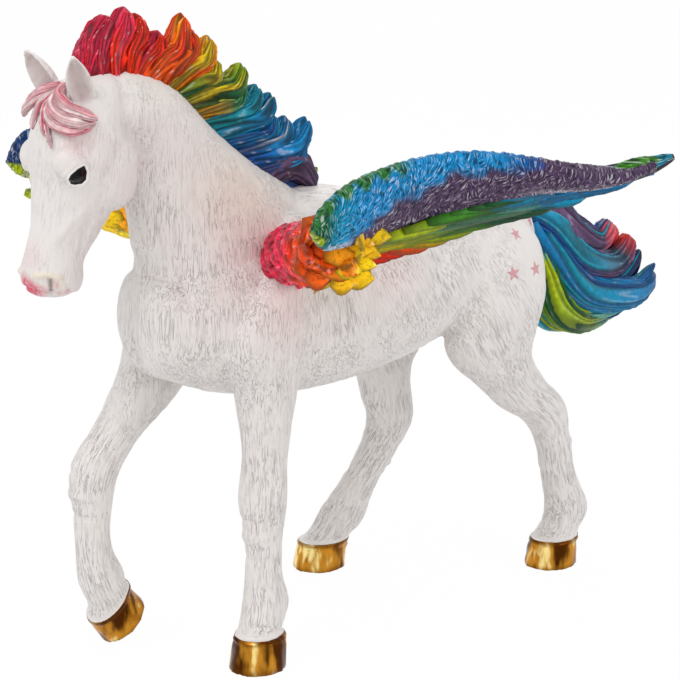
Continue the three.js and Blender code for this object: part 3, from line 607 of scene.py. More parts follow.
def hoof_crown(leg):
    """The middle of a hoof's upper edge, and the hoof's own upward way."""
    height = leg["hoof"][3]
    lean = math.radians(leg["sole_tilt"])
    up = np.array([0.0, math.sin(lean), math.cos(lean)])
    return np.array(leg["sole"]) + up * height + [0, height * HOOF_LEAN, 0], up


def leg_rows(leg):
    """A leg's sections, from its top to its sole."""
    rows = [(*joint[:3], *size, joint[3]) for joint, size in zip(leg["joints"], leg["sizes"])]
    half, front, back, _height = leg["hoof"]
    crown, _up = hoof_crown(leg)
    rows.append((*crown, half * HOOF_CROWN, front * HOOF_CROWN, back * HOOF_CROWN,
                 leg["sole_tilt"]))
    dense = smooth_rows(rows, 6)
    sole = [(*leg["sole"], half, front, back, leg["sole_tilt"])]
    return np.vstack([dense, sole])


def ear_axes(side):
    """An ear's root and reach, and the directions across it and out of its bowl."""
    root = EAR_ROOT * [side, 1, 1]
    reach = EAR_TIP * [side, 1, 1] - root
    along = reach / np.linalg.norm(reach)
    out = EAR_FACES[side]
    out = out - along * (out @ along)
    out /= np.linalg.norm(out)
    return root, reach, np.cross(along, out), out


def ear_form(side):
    root, reach, across, out = ear_axes(side)
    angle = full_turn(EAR_SIDES)
    rings = []
    for along, share in smooth_rows(EAR_SHAPE, 4):
        thick = np.where(np.sin(angle) > 0, EAR_FRONT, EAR_BACK) * (0.35 + 0.65 * share)
        rings.append(root + reach * along + np.outer(np.cos(angle) * EAR_HALF[side] * share, across)
                     + np.outer(np.sin(angle) * thick, out))
    return closed_tube(np.array(rings))


def hollowed_ears(points, normals):
    """Presses the bowl into the front of each ear."""
    for side in (1, -1):
        root, reach, across, out = ear_axes(side)
        place = points - root
        along = place @ reach / (reach @ reach)
        share = np.interp(along, *np.transpose(EAR_SHAPE))
        beside = place @ across / (EAR_HALF[side] * share * EAR_BOWL_WIDTH)
        depth = EAR_BOWL * np.clip(1 - beside ** 2, 0, 1) * soft_step(along, 0.02, 0.3)
        depth = depth * (1 - soft_step(along, 0.8, 1.0))
        front = soft_step(normals @ out, 0.1, 0.5) * (np.abs(place @ out) < 2.5)
        points = points - (depth * front * (along < 1))[:, None] * out
    return points


def body_forms():
    """Closed overlapping forms of trunk, neck, head, legs and ears."""
    trunk = [(0, y, level, half, up, down, 90) for y, level, half, up, down in TRUNK]
    forms = [
        closed_tube(section_rings(smooth_rows(trunk, 8), 72)),
        closed_tube(section_rings(smooth_rows([(0, *row) for row in NECK], 8), 64)),
        closed_tube(section_rings(smooth_rows([(0, *row) for row in HEAD], 8), 56)),
    ]
    for leg in LEGS.values():
        forms.append(closed_tube(section_rings(leg_rows(leg), 40)))
    for side in (1, -1):
        for middle, half in (CHEEK, BROW, EYE):
            forms.append(ball(np.array(middle) * [side, 1, 1], half))
        forms.append(ear_form(side))
    return forms


def joined_forms(forms):
    """The points and faces of several forms as one mesh's."""
    points, faces, start = [], [], 0
    for form_points, form_faces in forms:
        points.append(form_points)
        faces.extend(tuple(i + start for i in face) for face in form_faces)
        start += len(form_points)
    return np.vstack(points), faces


def remeshed(name, forms, voxel):
    """One closed skin over overlapping closed forms."""
    points, faces = joined_forms(forms)
    piece = make_object(name, points, faces)
    remesh = piece.modifiers.new("skin", "REMESH")
    remesh.mode = "VOXEL"
    remesh.voxel_size = voxel * MM
    remesh.use_smooth_shade = True
    return applied(piece)


def plane_side(points, seam):
    """Signed distance above a seam plane across the body."""
    y, z, tilt = seam
    lean = math.radians(tilt)
    return (points[:, 1] - y) * math.sin(lean) + (points[:, 2] - z) * math.cos(lean)


def piece_labels(points):
    """The piece that each point of the white body belongs to."""
    # each seam's plane only cuts near its own piece
    names = ["torso", "neck", "head", *LEGS]
    label = np.zeros(len(points), int)
    above = plane_side(points, NECK_SEAM) > 0
    label[above & (points[:, 1] < -15)] = 1
    label[(plane_side(points, HEAD_SEAM) > 0) & above & (points[:, 1] < -40)] = 2
    for number, leg in enumerate(LEGS.values(), 3):
        y, _z, _tilt = leg["seam"]
        below = plane_side(points, leg["seam"]) < 0
        beside = points[:, 0] * leg["side"] > 1
        label[below & beside & (np.abs(points[:, 1] - y) < 30) & (points[:, 2] < 60)] = number
    return names, label


# Paints

def paint(red, green, blue):
    """A paint's colour, given as it looks on a screen, in linear light."""
    share = np.array([red, green, blue]) / 255
    return np.where(share <= 0.04045, share / 12.92, ((share + 0.055) / 1.055) ** 2.4)


CRIMSON = paint(228, 42, 78)
RED = paint(250, 48, 16)
ORANGE = paint(249, 92, 14)
AMBER = paint(246, 172, 12)
YELLOW = paint(238, 206, 16)
LIME = paint(168, 186, 14)
GREEN = paint(64, 140, 24)
DARK_GREEN = paint(12, 92, 52)
TEAL = paint(10, 150, 178)
BLUE = paint(10, 134, 196)
DEEP_BLUE = paint(12, 78, 150)
PURPLE = paint(98, 72, 108)
DARK_PURPLE = paint(52, 36, 60)
SILVER = paint(236, 234, 240)
ROSE = paint(222, 96, 118)
BLOSSOM = paint(244, 226, 226)
CORAL = paint(244, 84, 84)
# The white body's paints
BODY_WHITE = paint(224, 219, 216)
BODY_GREY = paint(206, 198, 196)
GROOVE_GREY = paint(150, 138, 132)
CREAM = paint(232, 212, 178)
BLUSH = paint(226, 178, 180)
LIP_ROSE = paint(210, 78, 102)
# Painted shade in the nostril slits and the ear bowls
HOLLOW_SHADE = paint(112, 82, 76)
STAR_ROSE = paint(206, 140, 146)
EYE_WHITE = paint(236, 234, 230)
EYE_BLACK = paint(14, 14, 16)
GOLD = paint(196, 134, 42)
# Painted reflection: the dark bars in the gold hooves
GOLD_DARK_REFLECTION = paint(74, 38, 8)
GOLD_RIM = paint(92, 50, 12)
# Painted highlight: the pale shine on the gold hooves
GOLD_HIGHLIGHT = paint(252, 226, 146)
# Painted shade in the grooves between feathers, and the dark under the band's scratches, in linear
# light
FEATHER_SHADE = (0.012, 0.014, 0.008)
SCRATCH_DARK = (0.004, 0.008, 0.014)


# Brush marks: their noise scale in a metre, and their height in metres
BRUSH_GRAIN = 900.0
BRUSH_RELIEF = 0.0002


def graded(value, stops):
    """Colours along stops of (place, colour)."""
    places = [place for place, _colour in stops]
    colours = np.array([colour for _place, colour in stops])
    return np.stack([np.interp(value, places, colours[:, k]) for k in range(3)], -1)


def mixed(first, second, share):
    share = np.clip(np.asarray(share, float), 0, 1)[..., None]
    return first * (1 - share) + second * share


def ripple(points, size, seed, waves=7):
    """Smooth noise of about the given size in millimetres, around -1 to 1."""
    chance = np.random.default_rng(seed)
    total = np.zeros(len(points))
    for _wave in range(waves):
        direction = chance.normal(size=points.shape[1])
        direction /= np.linalg.norm(direction)
        pitch = 2 * math.pi / size * chance.uniform(0.6, 1.5)
        total += np.sin(points @ direction * pitch + chance.uniform(0, 2 * math.pi))
    return total / math.sqrt(waves)


def set_paint(mesh, colours):
    layer = mesh.attributes.new("paint", "FLOAT_COLOR", "POINT")
    full = np.ones((len(colours), 4), np.float32)
    full[:, :3] = np.clip(colours, 0, 1)
    layer.data.foreach_set("color", full.ravel())


def enamel(name, roughness, gloss, bump):
    """Hand-painted enamel: its colour is brushed on, with fine brush marks."""
    material = bpy.data.materials.new(name)
    material.use_nodes = True
    wires = Wires(material.node_tree)
    shader = wires.nodes["Principled BSDF"]
    shader.inputs["Roughness"].default_value = roughness
    shader.inputs["Specular IOR Level"].default_value = gloss
    grain = wires.noise(wires.object_place(), BRUSH_GRAIN, 3.0)
    shade = wires.nodes.new("ShaderNodeVectorMath")
    shade.operation = "SCALE"
    wires.link(wires.attribute("paint", "Color"), shade.inputs[0])
    wires.link(wires.spread(grain, 0.3, 0.7, 0.78, 1.18, smooth=False), shade.inputs["Scale"])
    wires.link(shade.outputs["Vector"], shader.inputs["Base Color"])
    wires.raised(shader, grain, bump, BRUSH_RELIEF)
    return material


def kept_inside(mesh):
    """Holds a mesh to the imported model's box, which soles and wing bends pass by under 0.3 mm."""
    low, high = np.array(cad_box)
    flat = np.empty(len(mesh.vertices) * 3, np.float32)
    mesh.vertices.foreach_get("co", flat)
    points = np.clip(flat.reshape(-1, 3), low + BOX_MARGIN, high - BOX_MARGIN)
    mesh.vertices.foreach_set("co", points.astype(np.float32).ravel())
    mesh.update()


def finished(piece, material, slot, *nodes):
    """Gives a piece its material and its place in the model."""
    kept_inside(piece.data)
    piece.data.materials.clear()
    piece.data.materials.append(material)
    piece.data.polygons.foreach_set("material_index", [0] * len(piece.data.polygons))
    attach(piece, "root")
    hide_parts(*nodes)


# Hair locks

# How many tints the strands of a lock take turns with
STRAND_TINTS = 97


class Lock:
    """A carved lock of hair: a flattened tube along a path, with raised strands."""

    def __init__(self, path, half_width, half_depth, side_way, seed, rings=36, sides=44,
                 strand=0.9, relief=0.32, blunt=0.05):
        self.along = np.linspace(0, 1, rings)
        angle = full_turn(sides)
        middle = curve_at(path, self.along)
        run = unit_rows(np.gradient(middle, axis=0))
        across = unit_rows(np.cross(np.asarray(side_way, float), run))
        depth = np.cross(run, across)
        swell = np.interp(self.along, [0, 0.3, 0.7, 0.9, 1],
                          [0.72, 1, 0.86, max(0.52, 1.5 * blunt), blunt])
        chance = np.random.default_rng(seed)
        cos, sin = np.cos(angle), np.sin(angle)
        strands = max(3, half_width * math.pi / 2 / strand)
        turn = np.arcsin(np.clip(cos, -1, 1)) / math.pi * 2
        uneven = 0.16 * np.sin(turn * 5 + chance.uniform(0, 6))
        drift = chance.uniform(-0.9, 0.9) * self.along[:, None] * 2
        wave = 0.3 * np.sin(self.along[:, None] * 8 + cos[None, :] * 4 + chance.uniform(0, 6))
        phase = (turn + uneven)[None, :] * strands + drift + wave + chance.uniform(0, 1)
        self.ridge = 1 - np.abs(np.sin(math.pi * phase)) ** 0.7
        self.strand = np.floor(phase + 0.5).astype(int) % STRAND_TINTS
        raised = relief * (self.ridge - 0.5) * np.clip(swell * 1.4, 0, 1)[:, None]
        out = middle[:, None, :]
        out = out + across[:, None, :] * ((half_width * swell)[:, None] * cos
                                          + raised * cos)[..., None]
        out = out + depth[:, None, :] * ((half_depth * swell)[:, None] * sin
                                         + raised * np.sign(sin) * np.abs(sin) ** 0.5)[..., None]
        self.points, self.faces = closed_tube(out)
        self.chance = chance

    def colours(self, base, groove=0.3, accents=(), highlight_drybrush=0.0, spread=0.25):
        """Paint per point: painted shade in the grooves, each strand its own tint, a few in accents.

        base is one colour or one for each ring; accents are (colour, share of the strands);
        highlight_drybrush is how much of the sharpest ridges is brushed with silver, both dry-brushed
        paint and painted highlight."""
        base = np.asarray(base, float).reshape(-1, 1, 3) * np.ones((*self.ridge.shape, 1))
        tint = self.chance.uniform(1 - spread, 1 + spread, STRAND_TINTS)[self.strand]
        pick = self.chance.random(STRAND_TINTS)[self.strand]
        colour = base
        low = 0.0
        for accent, share in accents:
            wave = 0.55 + 0.45 * np.sin(self.along * 6 + low * 9 + self.chance.uniform(0, 6))
            chosen = (pick >= low) & (pick < low + share)
            colour = mixed(colour, accent, chosen * wave[:, None])
            low += share
        # painted shade: the grooves between strands darker than the lit ridges
        lit = groove + (1 - groove) * np.clip(self.ridge * 1.6, 0, 1)
        colour = colour * (tint * lit)[..., None]
        # painted highlights, with silver dry-brush, on the sharpest ridges of some strands
        flash = self.chance.random(STRAND_TINTS)[self.strand]
        flash = np.sin(self.along[:, None] * 11 + flash * 40) > 0.55
        colour = mixed(colour, SILVER, highlight_drybrush * flash * soft_step(self.ridge, 0.72, 0.95))
        return np.vstack([colour.reshape(-1, 3), colour[0].mean(0), colour[-1].mean(0)])


def finish_locks(node, painted, material):
    """Pairs of a lock and its colours, as the one piece that stands for a node."""
    points, faces = joined_forms([(lock.points, lock.faces) for lock, _colours in painted])
    piece = make_object(node + "_locks", points, faces)
    set_paint(piece.data, np.vstack([colours for _lock, colours in painted]))
    finished(piece, material, node + "_paint", node)


# Mane locks from the brow to the withers, the same on both sides: path as y and z, half width
MANE_LOCKS = [
    ([(-58.6, 111.5), (-58.3, 114), (-57.6, 117), (-56.8, 120.3)], 2.2),
    ([(-56.8, 111.5), (-56.6, 115), (-55.4, 119.6), (-52.8, 122.6)], 2.8),
    ([(-53.8, 111.5), (-53.2, 116.4), (-50.8, 120.6), (-49.6, 124.2)], 2.8),
    ([(-51.2, 111.5), (-50.2, 116.4), (-47.8, 119.9), (-47.4, 123)], 2.4),
    ([(-49.4, 111.2), (-47.4, 115.6), (-44.9, 118), (-42.6, 119.7)], 2.6),
    ([(-47, 110.6), (-43.8, 115), (-40, 118), (-37.6, 122.6)], 3.0),
    ([(-44, 110), (-40.4, 114.2), (-37.5, 117.2), (-36.2, 120)], 2.6),
    ([(-41.8, 109.4), (-38.2, 113.2), (-34.4, 115.4), (-31.8, 118.3)], 2.7),
    ([(-39.6, 108), (-35.8, 111), (-32.8, 112.6), (-31, 114.6)], 2.4),
    ([(-38, 106), (-32.8, 108.5), (-27.8, 110.1), (-24.4, 112.8)], 2.9),
    ([(-36.2, 104.2), (-31.3, 106.2), (-27.4, 107.5), (-25, 110)], 2.6),
    ([(-34.2, 102.2), (-29.1, 104.2), (-24.4, 106.2), (-20.9, 108.6)], 2.7),
    ([(-32.2, 100), (-26.8, 102.2), (-21.7, 104), (-17.6, 106.8)], 2.8),
    ([(-30, 98), (-25, 99.8), (-20.1, 101.3), (-18, 103.5)], 2.6),
    ([(-27.8, 95.8), (-22.7, 97.6), (-17, 99.6), (-14.2, 102.2)], 2.8),
    ([(-25.4, 94), (-19.9, 95.8), (-13.4, 97.9), (-9.2, 101.6)], 2.9),
    ([(-23, 92.4), (-18, 94.2), (-13.4, 95.4), (-11, 97.2)], 2.5),
    ([(-20.6, 90.6), (-16.6, 93.2), (-12.2, 92.8), (-7.6, 88.6)], 4.0),
]
# Which locks hang, how far each point of their path sags, and the way it sags in y and z
MANE_HANGING = range(4, 17)
MANE_SAG = [0, 0.9, 1.5, 0]
MANE_SAG_WAY = (0.55, -0.8)
# Layers of locks on each side of the crest
MANE_LAYERS = {1: 2, -1: 1}
MANE_RIDGE = [
    (0, -57, 109), (0, -51, 110.6), (0, -44, 109.4), (0, -37.6, 105), (0, -29, 96.6),
    (0, -18.4, 90.2), (0, -9.2, 87.2),
]
MANE_TIPS = [
    (0.0, CRIMSON), (0.12, CRIMSON), (0.18, RED), (0.26, RED), (0.3, ORANGE), (0.35, ORANGE),
    (0.4, AMBER), (0.46, YELLOW), (0.51, LIME), (0.57, GREEN), (0.65, TEAL), (0.71, BLUE),
    (0.94, BLUE), (1.0, PURPLE),
]
# Strands of another colour among the locks, from the brow to the withers
MANE_ACCENTS = [
    [(ROSE, 0.15), (RED, 0.1)], [(ROSE, 0.15), (RED, 0.15)], [(RED, 0.3), (CRIMSON, 0.2)],
    [(RED, 0.3), (AMBER, 0.15)], [(YELLOW, 0.3), (ORANGE, 0.15)],
    [(DARK_GREEN, 0.35), (YELLOW, 0.2)], [(DARK_GREEN, 0.35), (LIME, 0.2), (YELLOW, 0.1)],
    [(TEAL, 0.3), (DARK_GREEN, 0.2), (SILVER, 0.04)],
    [(DEEP_BLUE, 0.35), (TEAL, 0.2), (SILVER, 0.06)], [(DEEP_BLUE, 0.35), (SILVER, 0.08)],
    [(DEEP_BLUE, 0.3)],
]
MANE_ROOTS = [
    (0.0, CRIMSON), (0.16, RED), (0.28, ORANGE), (0.36, ORANGE * 0.8), (0.44, LIME * 0.7),
    (0.52, DARK_GREEN), (0.58, AMBER * 0.7), (0.62, DARK_GREEN), (0.68, TEAL), (0.78, DEEP_BLUE),
    (0.9, DEEP_BLUE), (1.0, PURPLE),
]


def mane_path(number, line, side, layer):
    """A lock's path beside the crest; a deeper layer lies further out and back."""
    hang = float(number in MANE_HANGING)
    path = []
    for step, (y, z) in enumerate(line):
        out = side * (1.2 + 0.9 * layer - 0.35 * step)
        sag = MANE_SAG[step] * hang
        back = layer * (0.9 - 0.2 * step)
        path.append((out, y + back + sag * MANE_SAG_WAY[0],
                     z - layer * 0.25 * step + sag * MANE_SAG_WAY[1]))
    if hang:
        (_x, y, z), (_next_x, next_y, next_z) = path[:2]
        path[0] = (path[0][0], y - 0.4 * (next_y - y), z - 0.1 * (next_z - z))
    return path


def mane_lock(number, side, layer):
    """One lock of the mane and its colours."""
    line, half = MANE_LOCKS[number]
    place = number / (len(MANE_LOCKS) - 1)
    seed = number * 4 + layer + (200 if side < 0 else 0)
    lock = Lock(mane_path(number, line, side, layer), half * (1.0 - 0.15 * layer), 1.5,
                (side, 0, 0), seed, strand=1.05, relief=0.4)
    tip = graded(np.array([place]), MANE_TIPS)
    root = graded(np.array([place]), MANE_ROOTS)
    blend = soft_step(lock.along, 0.15, 0.6)[:, None]
    accents = MANE_ACCENTS[min(int(place * len(MANE_ACCENTS)), len(MANE_ACCENTS) - 1)]
    return lock, lock.colours(root * (1 - blend) + tip * blend, groove=0.2, accents=accents,
                              highlight_drybrush=0.35)


def make_mane():
    painted = []
    for number in range(len(MANE_LOCKS)):
        for side, layers in MANE_LAYERS.items():
            painted.extend(mane_lock(number, side, layer) for layer in range(layers))
    ridge = Lock(MANE_RIDGE, 4.2, 2.6, (1, 0, 0), 99, rings=80, sides=64)
    painted.append((ridge, ridge.colours(graded(ridge.along, MANE_ROOTS))))
    finish_locks("mane", painted, enamel("mane_enamel", 0.34, 0.14, 0.25))


CURL_ROSE = mixed(CORAL, ROSE, 0.6)
# Tail locks: path as x, y, z, half width, half depth, and the colours along it
TAIL_LOCKS = [
    ([(0, 50.6, 77), (0.6, 56.7, 76.8), (1.6, 64, 71.2), (1.8, 71, 68), (1.2, 75.6, 71)],
     3.6, 3.2, [(0, PURPLE), (0.5, PURPLE), (0.76, PURPLE), (0.86, CURL_ROSE), (1, CURL_ROSE)]),
    ([(0, 51, 76.6), (-0.6, 57, 75), (-1.2, 64.4, 68.2), (-1, 72.4, 65.4), (-0.6, 79, 69.6)],
     3.6, 3.4, [(0, DEEP_BLUE), (0.5, PURPLE), (0.74, PURPLE), (0.86, CORAL), (1, CORAL)]),
    ([(0, 51, 76), (1.6, 56, 73), (2.2, 65.6, 64.6), (1.8, 76.4, 62), (1.2, 82.4, 66.8)],
     4.0, 3.6, [(0, BLUE), (0.4, DEEP_BLUE), (0.65, PURPLE), (0.82, DARK_PURPLE), (1, RED)]),
    ([(0, 51, 75), (-1.6, 55.5, 70), (-2.2, 66, 60), (-1.8, 81, 57), (-1, 88.8, 63)],
     4.4, 3.8, [(0, BLUE), (0.5, TEAL), (0.75, DEEP_BLUE), (1, DARK_PURPLE)]),
    ([(0, 51, 74), (1.4, 55.4, 68), (2.4, 66.5, 57.4), (2, 83, 54.6), (1, 91.6, 57.6)],
     4.6, 4.2, [(0, BLUE), (0.4, BLUE), (0.7, BLUE), (1, DEEP_BLUE)]),
    ([(0, 51, 73), (-1.6, 54.6, 66), (-2, 63, 54.6), (-1.6, 75, 51), (-1, 85, 53.2)],
     4.4, 4.0, [(0, TEAL), (0.5, TEAL), (0.8, BLUE), (1, BLUE)]),
    ([(0, 51.4, 72), (1.6, 54.4, 64), (2, 59, 55), (1.4, 67, 50.4), (0.6, 78, 50.2)],
     4.0, 3.8, [(0, DARK_GREEN), (0.4, GREEN), (0.75, LIME * 0.85), (1, TEAL)]),
    ([(0, 51.6, 71), (-1.4, 54, 62), (-1.8, 57.6, 54.4), (-1.2, 63, 50.4), (-0.6, 70, 48.8)],
     3.6, 3.4, [(0, DARK_GREEN), (0.5, GREEN), (0.8, LIME * 0.85), (1, GREEN)]),
]


# How many of the locks, from the top, end in a blunt curl, and how many count as upper ones
TAIL_CURLS = 3
TAIL_UPPER = 6
# Strands of another colour: share of the strands
TAIL_UPPER_ACCENTS = [(PURPLE, 0.1), (TEAL, 0.35), (DEEP_BLUE, 0.1)]
TAIL_LOWER_ACCENTS = [(DARK_GREEN, 0.25), (LIME, 0.25), (TEAL, 0.12)]


def tail_fillers():
    """Thinner locks between each tail lock and the next, set to alternate sides."""
    fillers = []
    for number, (first, second) in enumerate(zip(TAIL_LOCKS, TAIL_LOCKS[1:])):
        path = (np.array(first[0]) + np.array(second[0])) / 2
        path[:, 0] += np.linspace(0, 2.4, len(path)) * (1 if number % 2 else -1)
        fillers.append((path.tolist(), 2.4, 2.2, second[3]))
    return fillers


def make_tail():
    painted = []
    for number, (path, half, depth, stops) in enumerate(TAIL_LOCKS + tail_fillers()):
        main = number < len(TAIL_LOCKS)
        lock = Lock(path, half, depth, (1, 0, 0), 200 + number, rings=70,
                    sides=96 if main else 60, strand=1.5, relief=0.6,
                    blunt=0.5 if number < TAIL_CURLS else 0.12)
        upper = number % len(TAIL_LOCKS) < TAIL_UPPER
        colours = lock.colours(graded(lock.along, stops), groove=0.38, highlight_drybrush=0.2,
                               accents=TAIL_UPPER_ACCENTS if upper else TAIL_LOWER_ACCENTS)
        painted.append((lock, colours))
    finish_locks("tail", painted, enamel("tail_enamel", 0.3, 0.16, 0.12))


# Forelock locks: path, half width, half thickness, and how rosy they are
FORELOCK_LOCKS = [
    ([(0.6, -62.6, 111.2), (2.6, -65.0, 109.8), (5.4, -64.6, 107.9), (7.6, -62.2, 106.6),
      (8.0, -60.6, 105.8)], 1.3, 1.0, 0.75),
    ([(0.6, -62.8, 110.8), (2.2, -66.0, 108.4), (5.0, -66.0, 106.3), (7.6, -63.6, 105.2),
      (8.3, -61.2, 105.2)], 1.3, 1.0, 0.45),
    ([(0.4, -63.0, 110.6), (1.9, -66.6, 107.4), (4.6, -66.8, 105.1), (7.2, -64.6, 104.0),
      (8.2, -62.0, 104.6)], 1.2, 0.9, 0.7),
    ([(0.3, -63.2, 110.6), (0.7, -66.4, 108.0), (1.8, -67.8, 105.6), (2.8, -68.4, 103.2)],
     0.7, 0.6, 0.4),
    ([(0.4, -63.0, 110.4), (1.6, -66.9, 106.4), (3.4, -67.8, 103.6), (4.6, -68.0, 101.2)],
     0.6, 0.5, 0.3),
    ([(-0.2, -63.2, 110.6), (-1.2, -66.4, 108.0), (-1.6, -67.6, 105.4), (-1.6, -68.0, 103.8)],
     0.9, 0.7, 0.3),
    ([(-0.4, -62.8, 111.0), (-3.4, -64.6, 110.0), (-6.2, -65.4, 108.2), (-8.4, -65.2, 106.2)],
     1.3, 1.0, 0.9),
    ([(-0.4, -63.0, 110.6), (-3.0, -65.8, 108.9), (-5.6, -66.6, 107.2), (-7.6, -66.2, 105.4)],
     1.1, 0.9, 0.3),
]


def make_forelock():
    painted = []
    for number, (path, half, depth, rosy) in enumerate(FORELOCK_LOCKS):
        lock = Lock(path, half, depth, (0, -0.8, 0.6), 300 + number, rings=36, sides=40,
                    strand=0.5, relief=0.24, blunt=0.15)
        rose = mixed(ROSE, CRIMSON, 0.35 * rosy)
        colours = lock.colours(mixed(BLOSSOM, rose, rosy * 0.75), groove=0.5, highlight_drybrush=0.3,
                               accents=[(rose, 0.35), (BLOSSOM, 0.35)], spread=0.1)
        painted.append((lock, colours))
    finish_locks("forelock", painted, enamel("forelock_enamel", 0.42, 0.3, 0.2))


# Wings

WING_ROOT = (9.5, -20.5, 77)
WING_BEND = (48.8, -41, 87)
WING_TOP = [
    (50, -46.6, 91), (50.6, -42.5, 96), (50.4, -35, 99), (50.2, -23, 100.6), (52, -12.5, 100.8),
    (55, -3.5, 99.2), (57.4, 6, 96.8), (58.6, 16, 95.2), (58, 26, 96.2),
]
WING_EDGE = [
    (49.8, -46.4, 90), (49, -43.4, 87.2), (47.6, -35, 87.3), (45.6, -23, 88.4), (47, -10, 90.4),
    (50, 0.5, 92), (53.6, 10, 93), (56, 18.5, 93.6), (57, 26.5, 94.8),
]
WING_TRAIL = [
    (14, -21.5, 71.6), (16.5, -15.5, 73.6), (20.5, -12, 76.8), (26, -7, 79.8),
    (32, -2.4, 82.4), (37.4, 5, 85.6), (42, 11, 87.4), (46, 15.5, 89.2), (50, 22, 91.8),
    (54, 29, 93.6),
]
WING_ROOTS = [
    (12, -23.4, 75), (20, -27, 78.4), (28, -30.8, 81), (36, -34.6, 83.6), (43.6, -37, 85.6),
    (47, -28.6, 87), (47.4, -14, 89.6), (49, -4, 91.4), (51, 4, 92.8), (54, 13, 94.4),
]
WING_TIP = (57, 35, 97.2)
BAND_HALF_DEPTH = 2.1
BAND_FACES_APART = 40
VANE_HALF_DEPTH = 0.6
RIGHT_DROOP = 0.24
# The feathers' colours run along the wing's backward sweep, in the layout's millimetres
WING_SWEEP = np.array([0.63, 0.78, 0.0])
# The band's purple: how high it reaches by y, from -1 at its lower edge to 1 at its upper one
BAND_PURPLE_Y = [-46, -41, -35.4, -28, -23, -17, -9, -2, 3]
BAND_PURPLE_TOP = [-1.8, -1.1, -0.3, 0.05, 0.25, 0.5, 0.57, 0.8, 1.7]
# Where the lime under the band's front end stops, on the left and on the right wing
BAND_CHIN_END = {1: -44, -1: -41}
# How far the right wing's colours are moved on: at its root, and for each millimetre outwards
RIGHT_SWEEP_STEP = 8
RIGHT_SWEEP_SLOPE = 0.15
TUFT_COLOURS = [
    (-14, CRIMSON), (-9.2, CRIMSON), (-7.2, RED), (-4.5, ORANGE), (-1.5, ORANGE), (1, AMBER),
    (5, YELLOW), (10, LIME),
]
UPPER_ROW_COLOURS = [
    (-9, ORANGE), (-6, AMBER), (-3, YELLOW), (0, LIME), (7, LIME), (11, YELLOW), (16, LIME),
    (22, LIME), (27, GREEN), (33, DARK_GREEN), (36, TEAL), (40, BLUE),
]
LOWER_ROW_COLOURS = [
    (-9, ORANGE), (-5, AMBER), (1, YELLOW), (3.5, AMBER), (6, RED), (14, RED), (17, ORANGE),
    (19, AMBER), (22, LIME), (26, LIME), (30, GREEN), (35, DARK_GREEN), (41, DARK_GREEN), (44, TEAL),
    (50, BLUE),
]
FEATHER_SEED = 5
# How far the right wing's longest feathers reach past the left one's, and their rise
RIGHT_TIP_STEP = np.array([0.0, 5.0, 1.6])


def on_wing(points, side):
    """Points of the left wing, or of the right one, which hangs lower towards its tip."""
    points = np.array(points, float)
    outward = np.clip((points[..., 0] - WING_ROOT[0]) / (WING_BEND[0] - WING_ROOT[0]), 0, 1)
    if side < 0:
        points[..., 2] -= RIGHT_DROOP * outward * np.maximum(0, points[..., 1] - WING_BEND[1])
    points[..., 0] *= side
    return points


def wing_curve(points, side, along):
    return curve_at(on_wing(points, side), along)


def band_colours(side, y, rise, blot):
    """The band's paint: green at its front end and rim, blue, and purple below and behind."""
    front, bend = DARK_GREEN, mixed(TEAL, BLUE, 0.4)
    if side < 0:
        front, bend = DEEP_BLUE * 0.4, DEEP_BLUE * 0.6
    colour = graded(y, [(-47.5, front), (-45, front), (-42, bend), (-37, BLUE), (-9, BLUE),
                        (-2, DEEP_BLUE)])
    edge = rise + 0.12 * blot
    purple_top = np.interp(y, BAND_PURPLE_Y, BAND_PURPLE_TOP)
    purple = mixed(PURPLE, DARK_PURPLE, 0.5)
    colour = mixed(colour, purple, soft_step(purple_top - edge, -0.25, 0.25))
    rim = soft_step(edge, 0.74, 0.95) * (1 - soft_step(y, -30, -24)) * (side > 0)
    colour = mixed(colour, mixed(GREEN, DARK_GREEN, 0.7), rim)
    chin_end = BAND_CHIN_END[side]
    chin = soft_step(-rise, 0.3, 0.7) * (1 - soft_step(y, chin_end - 1.5, chin_end))
    colour = mixed(colour, LIME, chin)
    pale = soft_step(-rise, 0.62, 0.85) * soft_step(y, -44, -42) * (1 - soft_step(y, -40, -37))
    colour = mixed(colour, SILVER, pale * 0.5)
    violet = np.exp(-((rise + 0.5) / 0.22) ** 2) * soft_step(y, -6, 2)
    return mixed(colour, mixed(PURPLE, SILVER, 0.45), violet * 0.7)


def band_forms(side):
    """The thick leading band, a puffed roll; its scratches lie in its paint."""
    along = np.linspace(0, 1, 260)
    upper = wing_curve(WING_TOP, side, along)
    lower = wing_curve(WING_EDGE, side, along)
    chord = (upper - lower) / 2
    run = unit_rows(np.gradient(upper, axis=0))
    depth = unit_rows(np.cross(chord, run))
    reach = np.linalg.norm(chord, axis=1)
    full = BAND_HALF_DEPTH * np.minimum(1, 0.25 + reach / 4)
    sides = 110
    angle = full_turn(sides)
    cos = np.sign(np.cos(angle)) * np.abs(np.cos(angle)) ** 0.9
    sin = np.sign(np.sin(angle)) * np.abs(np.sin(angle)) ** 0.8
    # the band's own flat layout: length along it and height on it, its two faces set apart
    long = np.repeat(lengths_along(upper)[:, None], sides, 1)
    high = reach[:, None] * cos + np.sign(sin) * BAND_FACES_APART
    flat = np.stack([long.ravel(), high.ravel()], 1)
    relief = 0.12 * ripple(flat, 1.3, 11).reshape(long.shape)
    out = (upper + lower)[:, None, :] / 2
    out = out + chord[:, None, :] * (cos + relief * cos / reach[:, None])[..., None]
    out = out + depth[:, None, :] * (sin * (full[:, None] + relief))[..., None]
    y = upper[:, 1][:, None] * np.ones((1, sides))
    blot = ripple(flat, 6, 4).reshape(long.shape)
    colour = band_colours(side, y, np.broadcast_to(cos, y.shape), blot)
    points, faces = closed_tube(out)
    ends = np.stack([colour[0].mean(0), colour[-1].mean(0)])
    place = np.stack([long, high, np.zeros_like(long)], -1).reshape(-1, 3)
    return points, faces, np.vstack([colour.reshape(-1, 3), ends]), np.vstack([place, place[:2]])


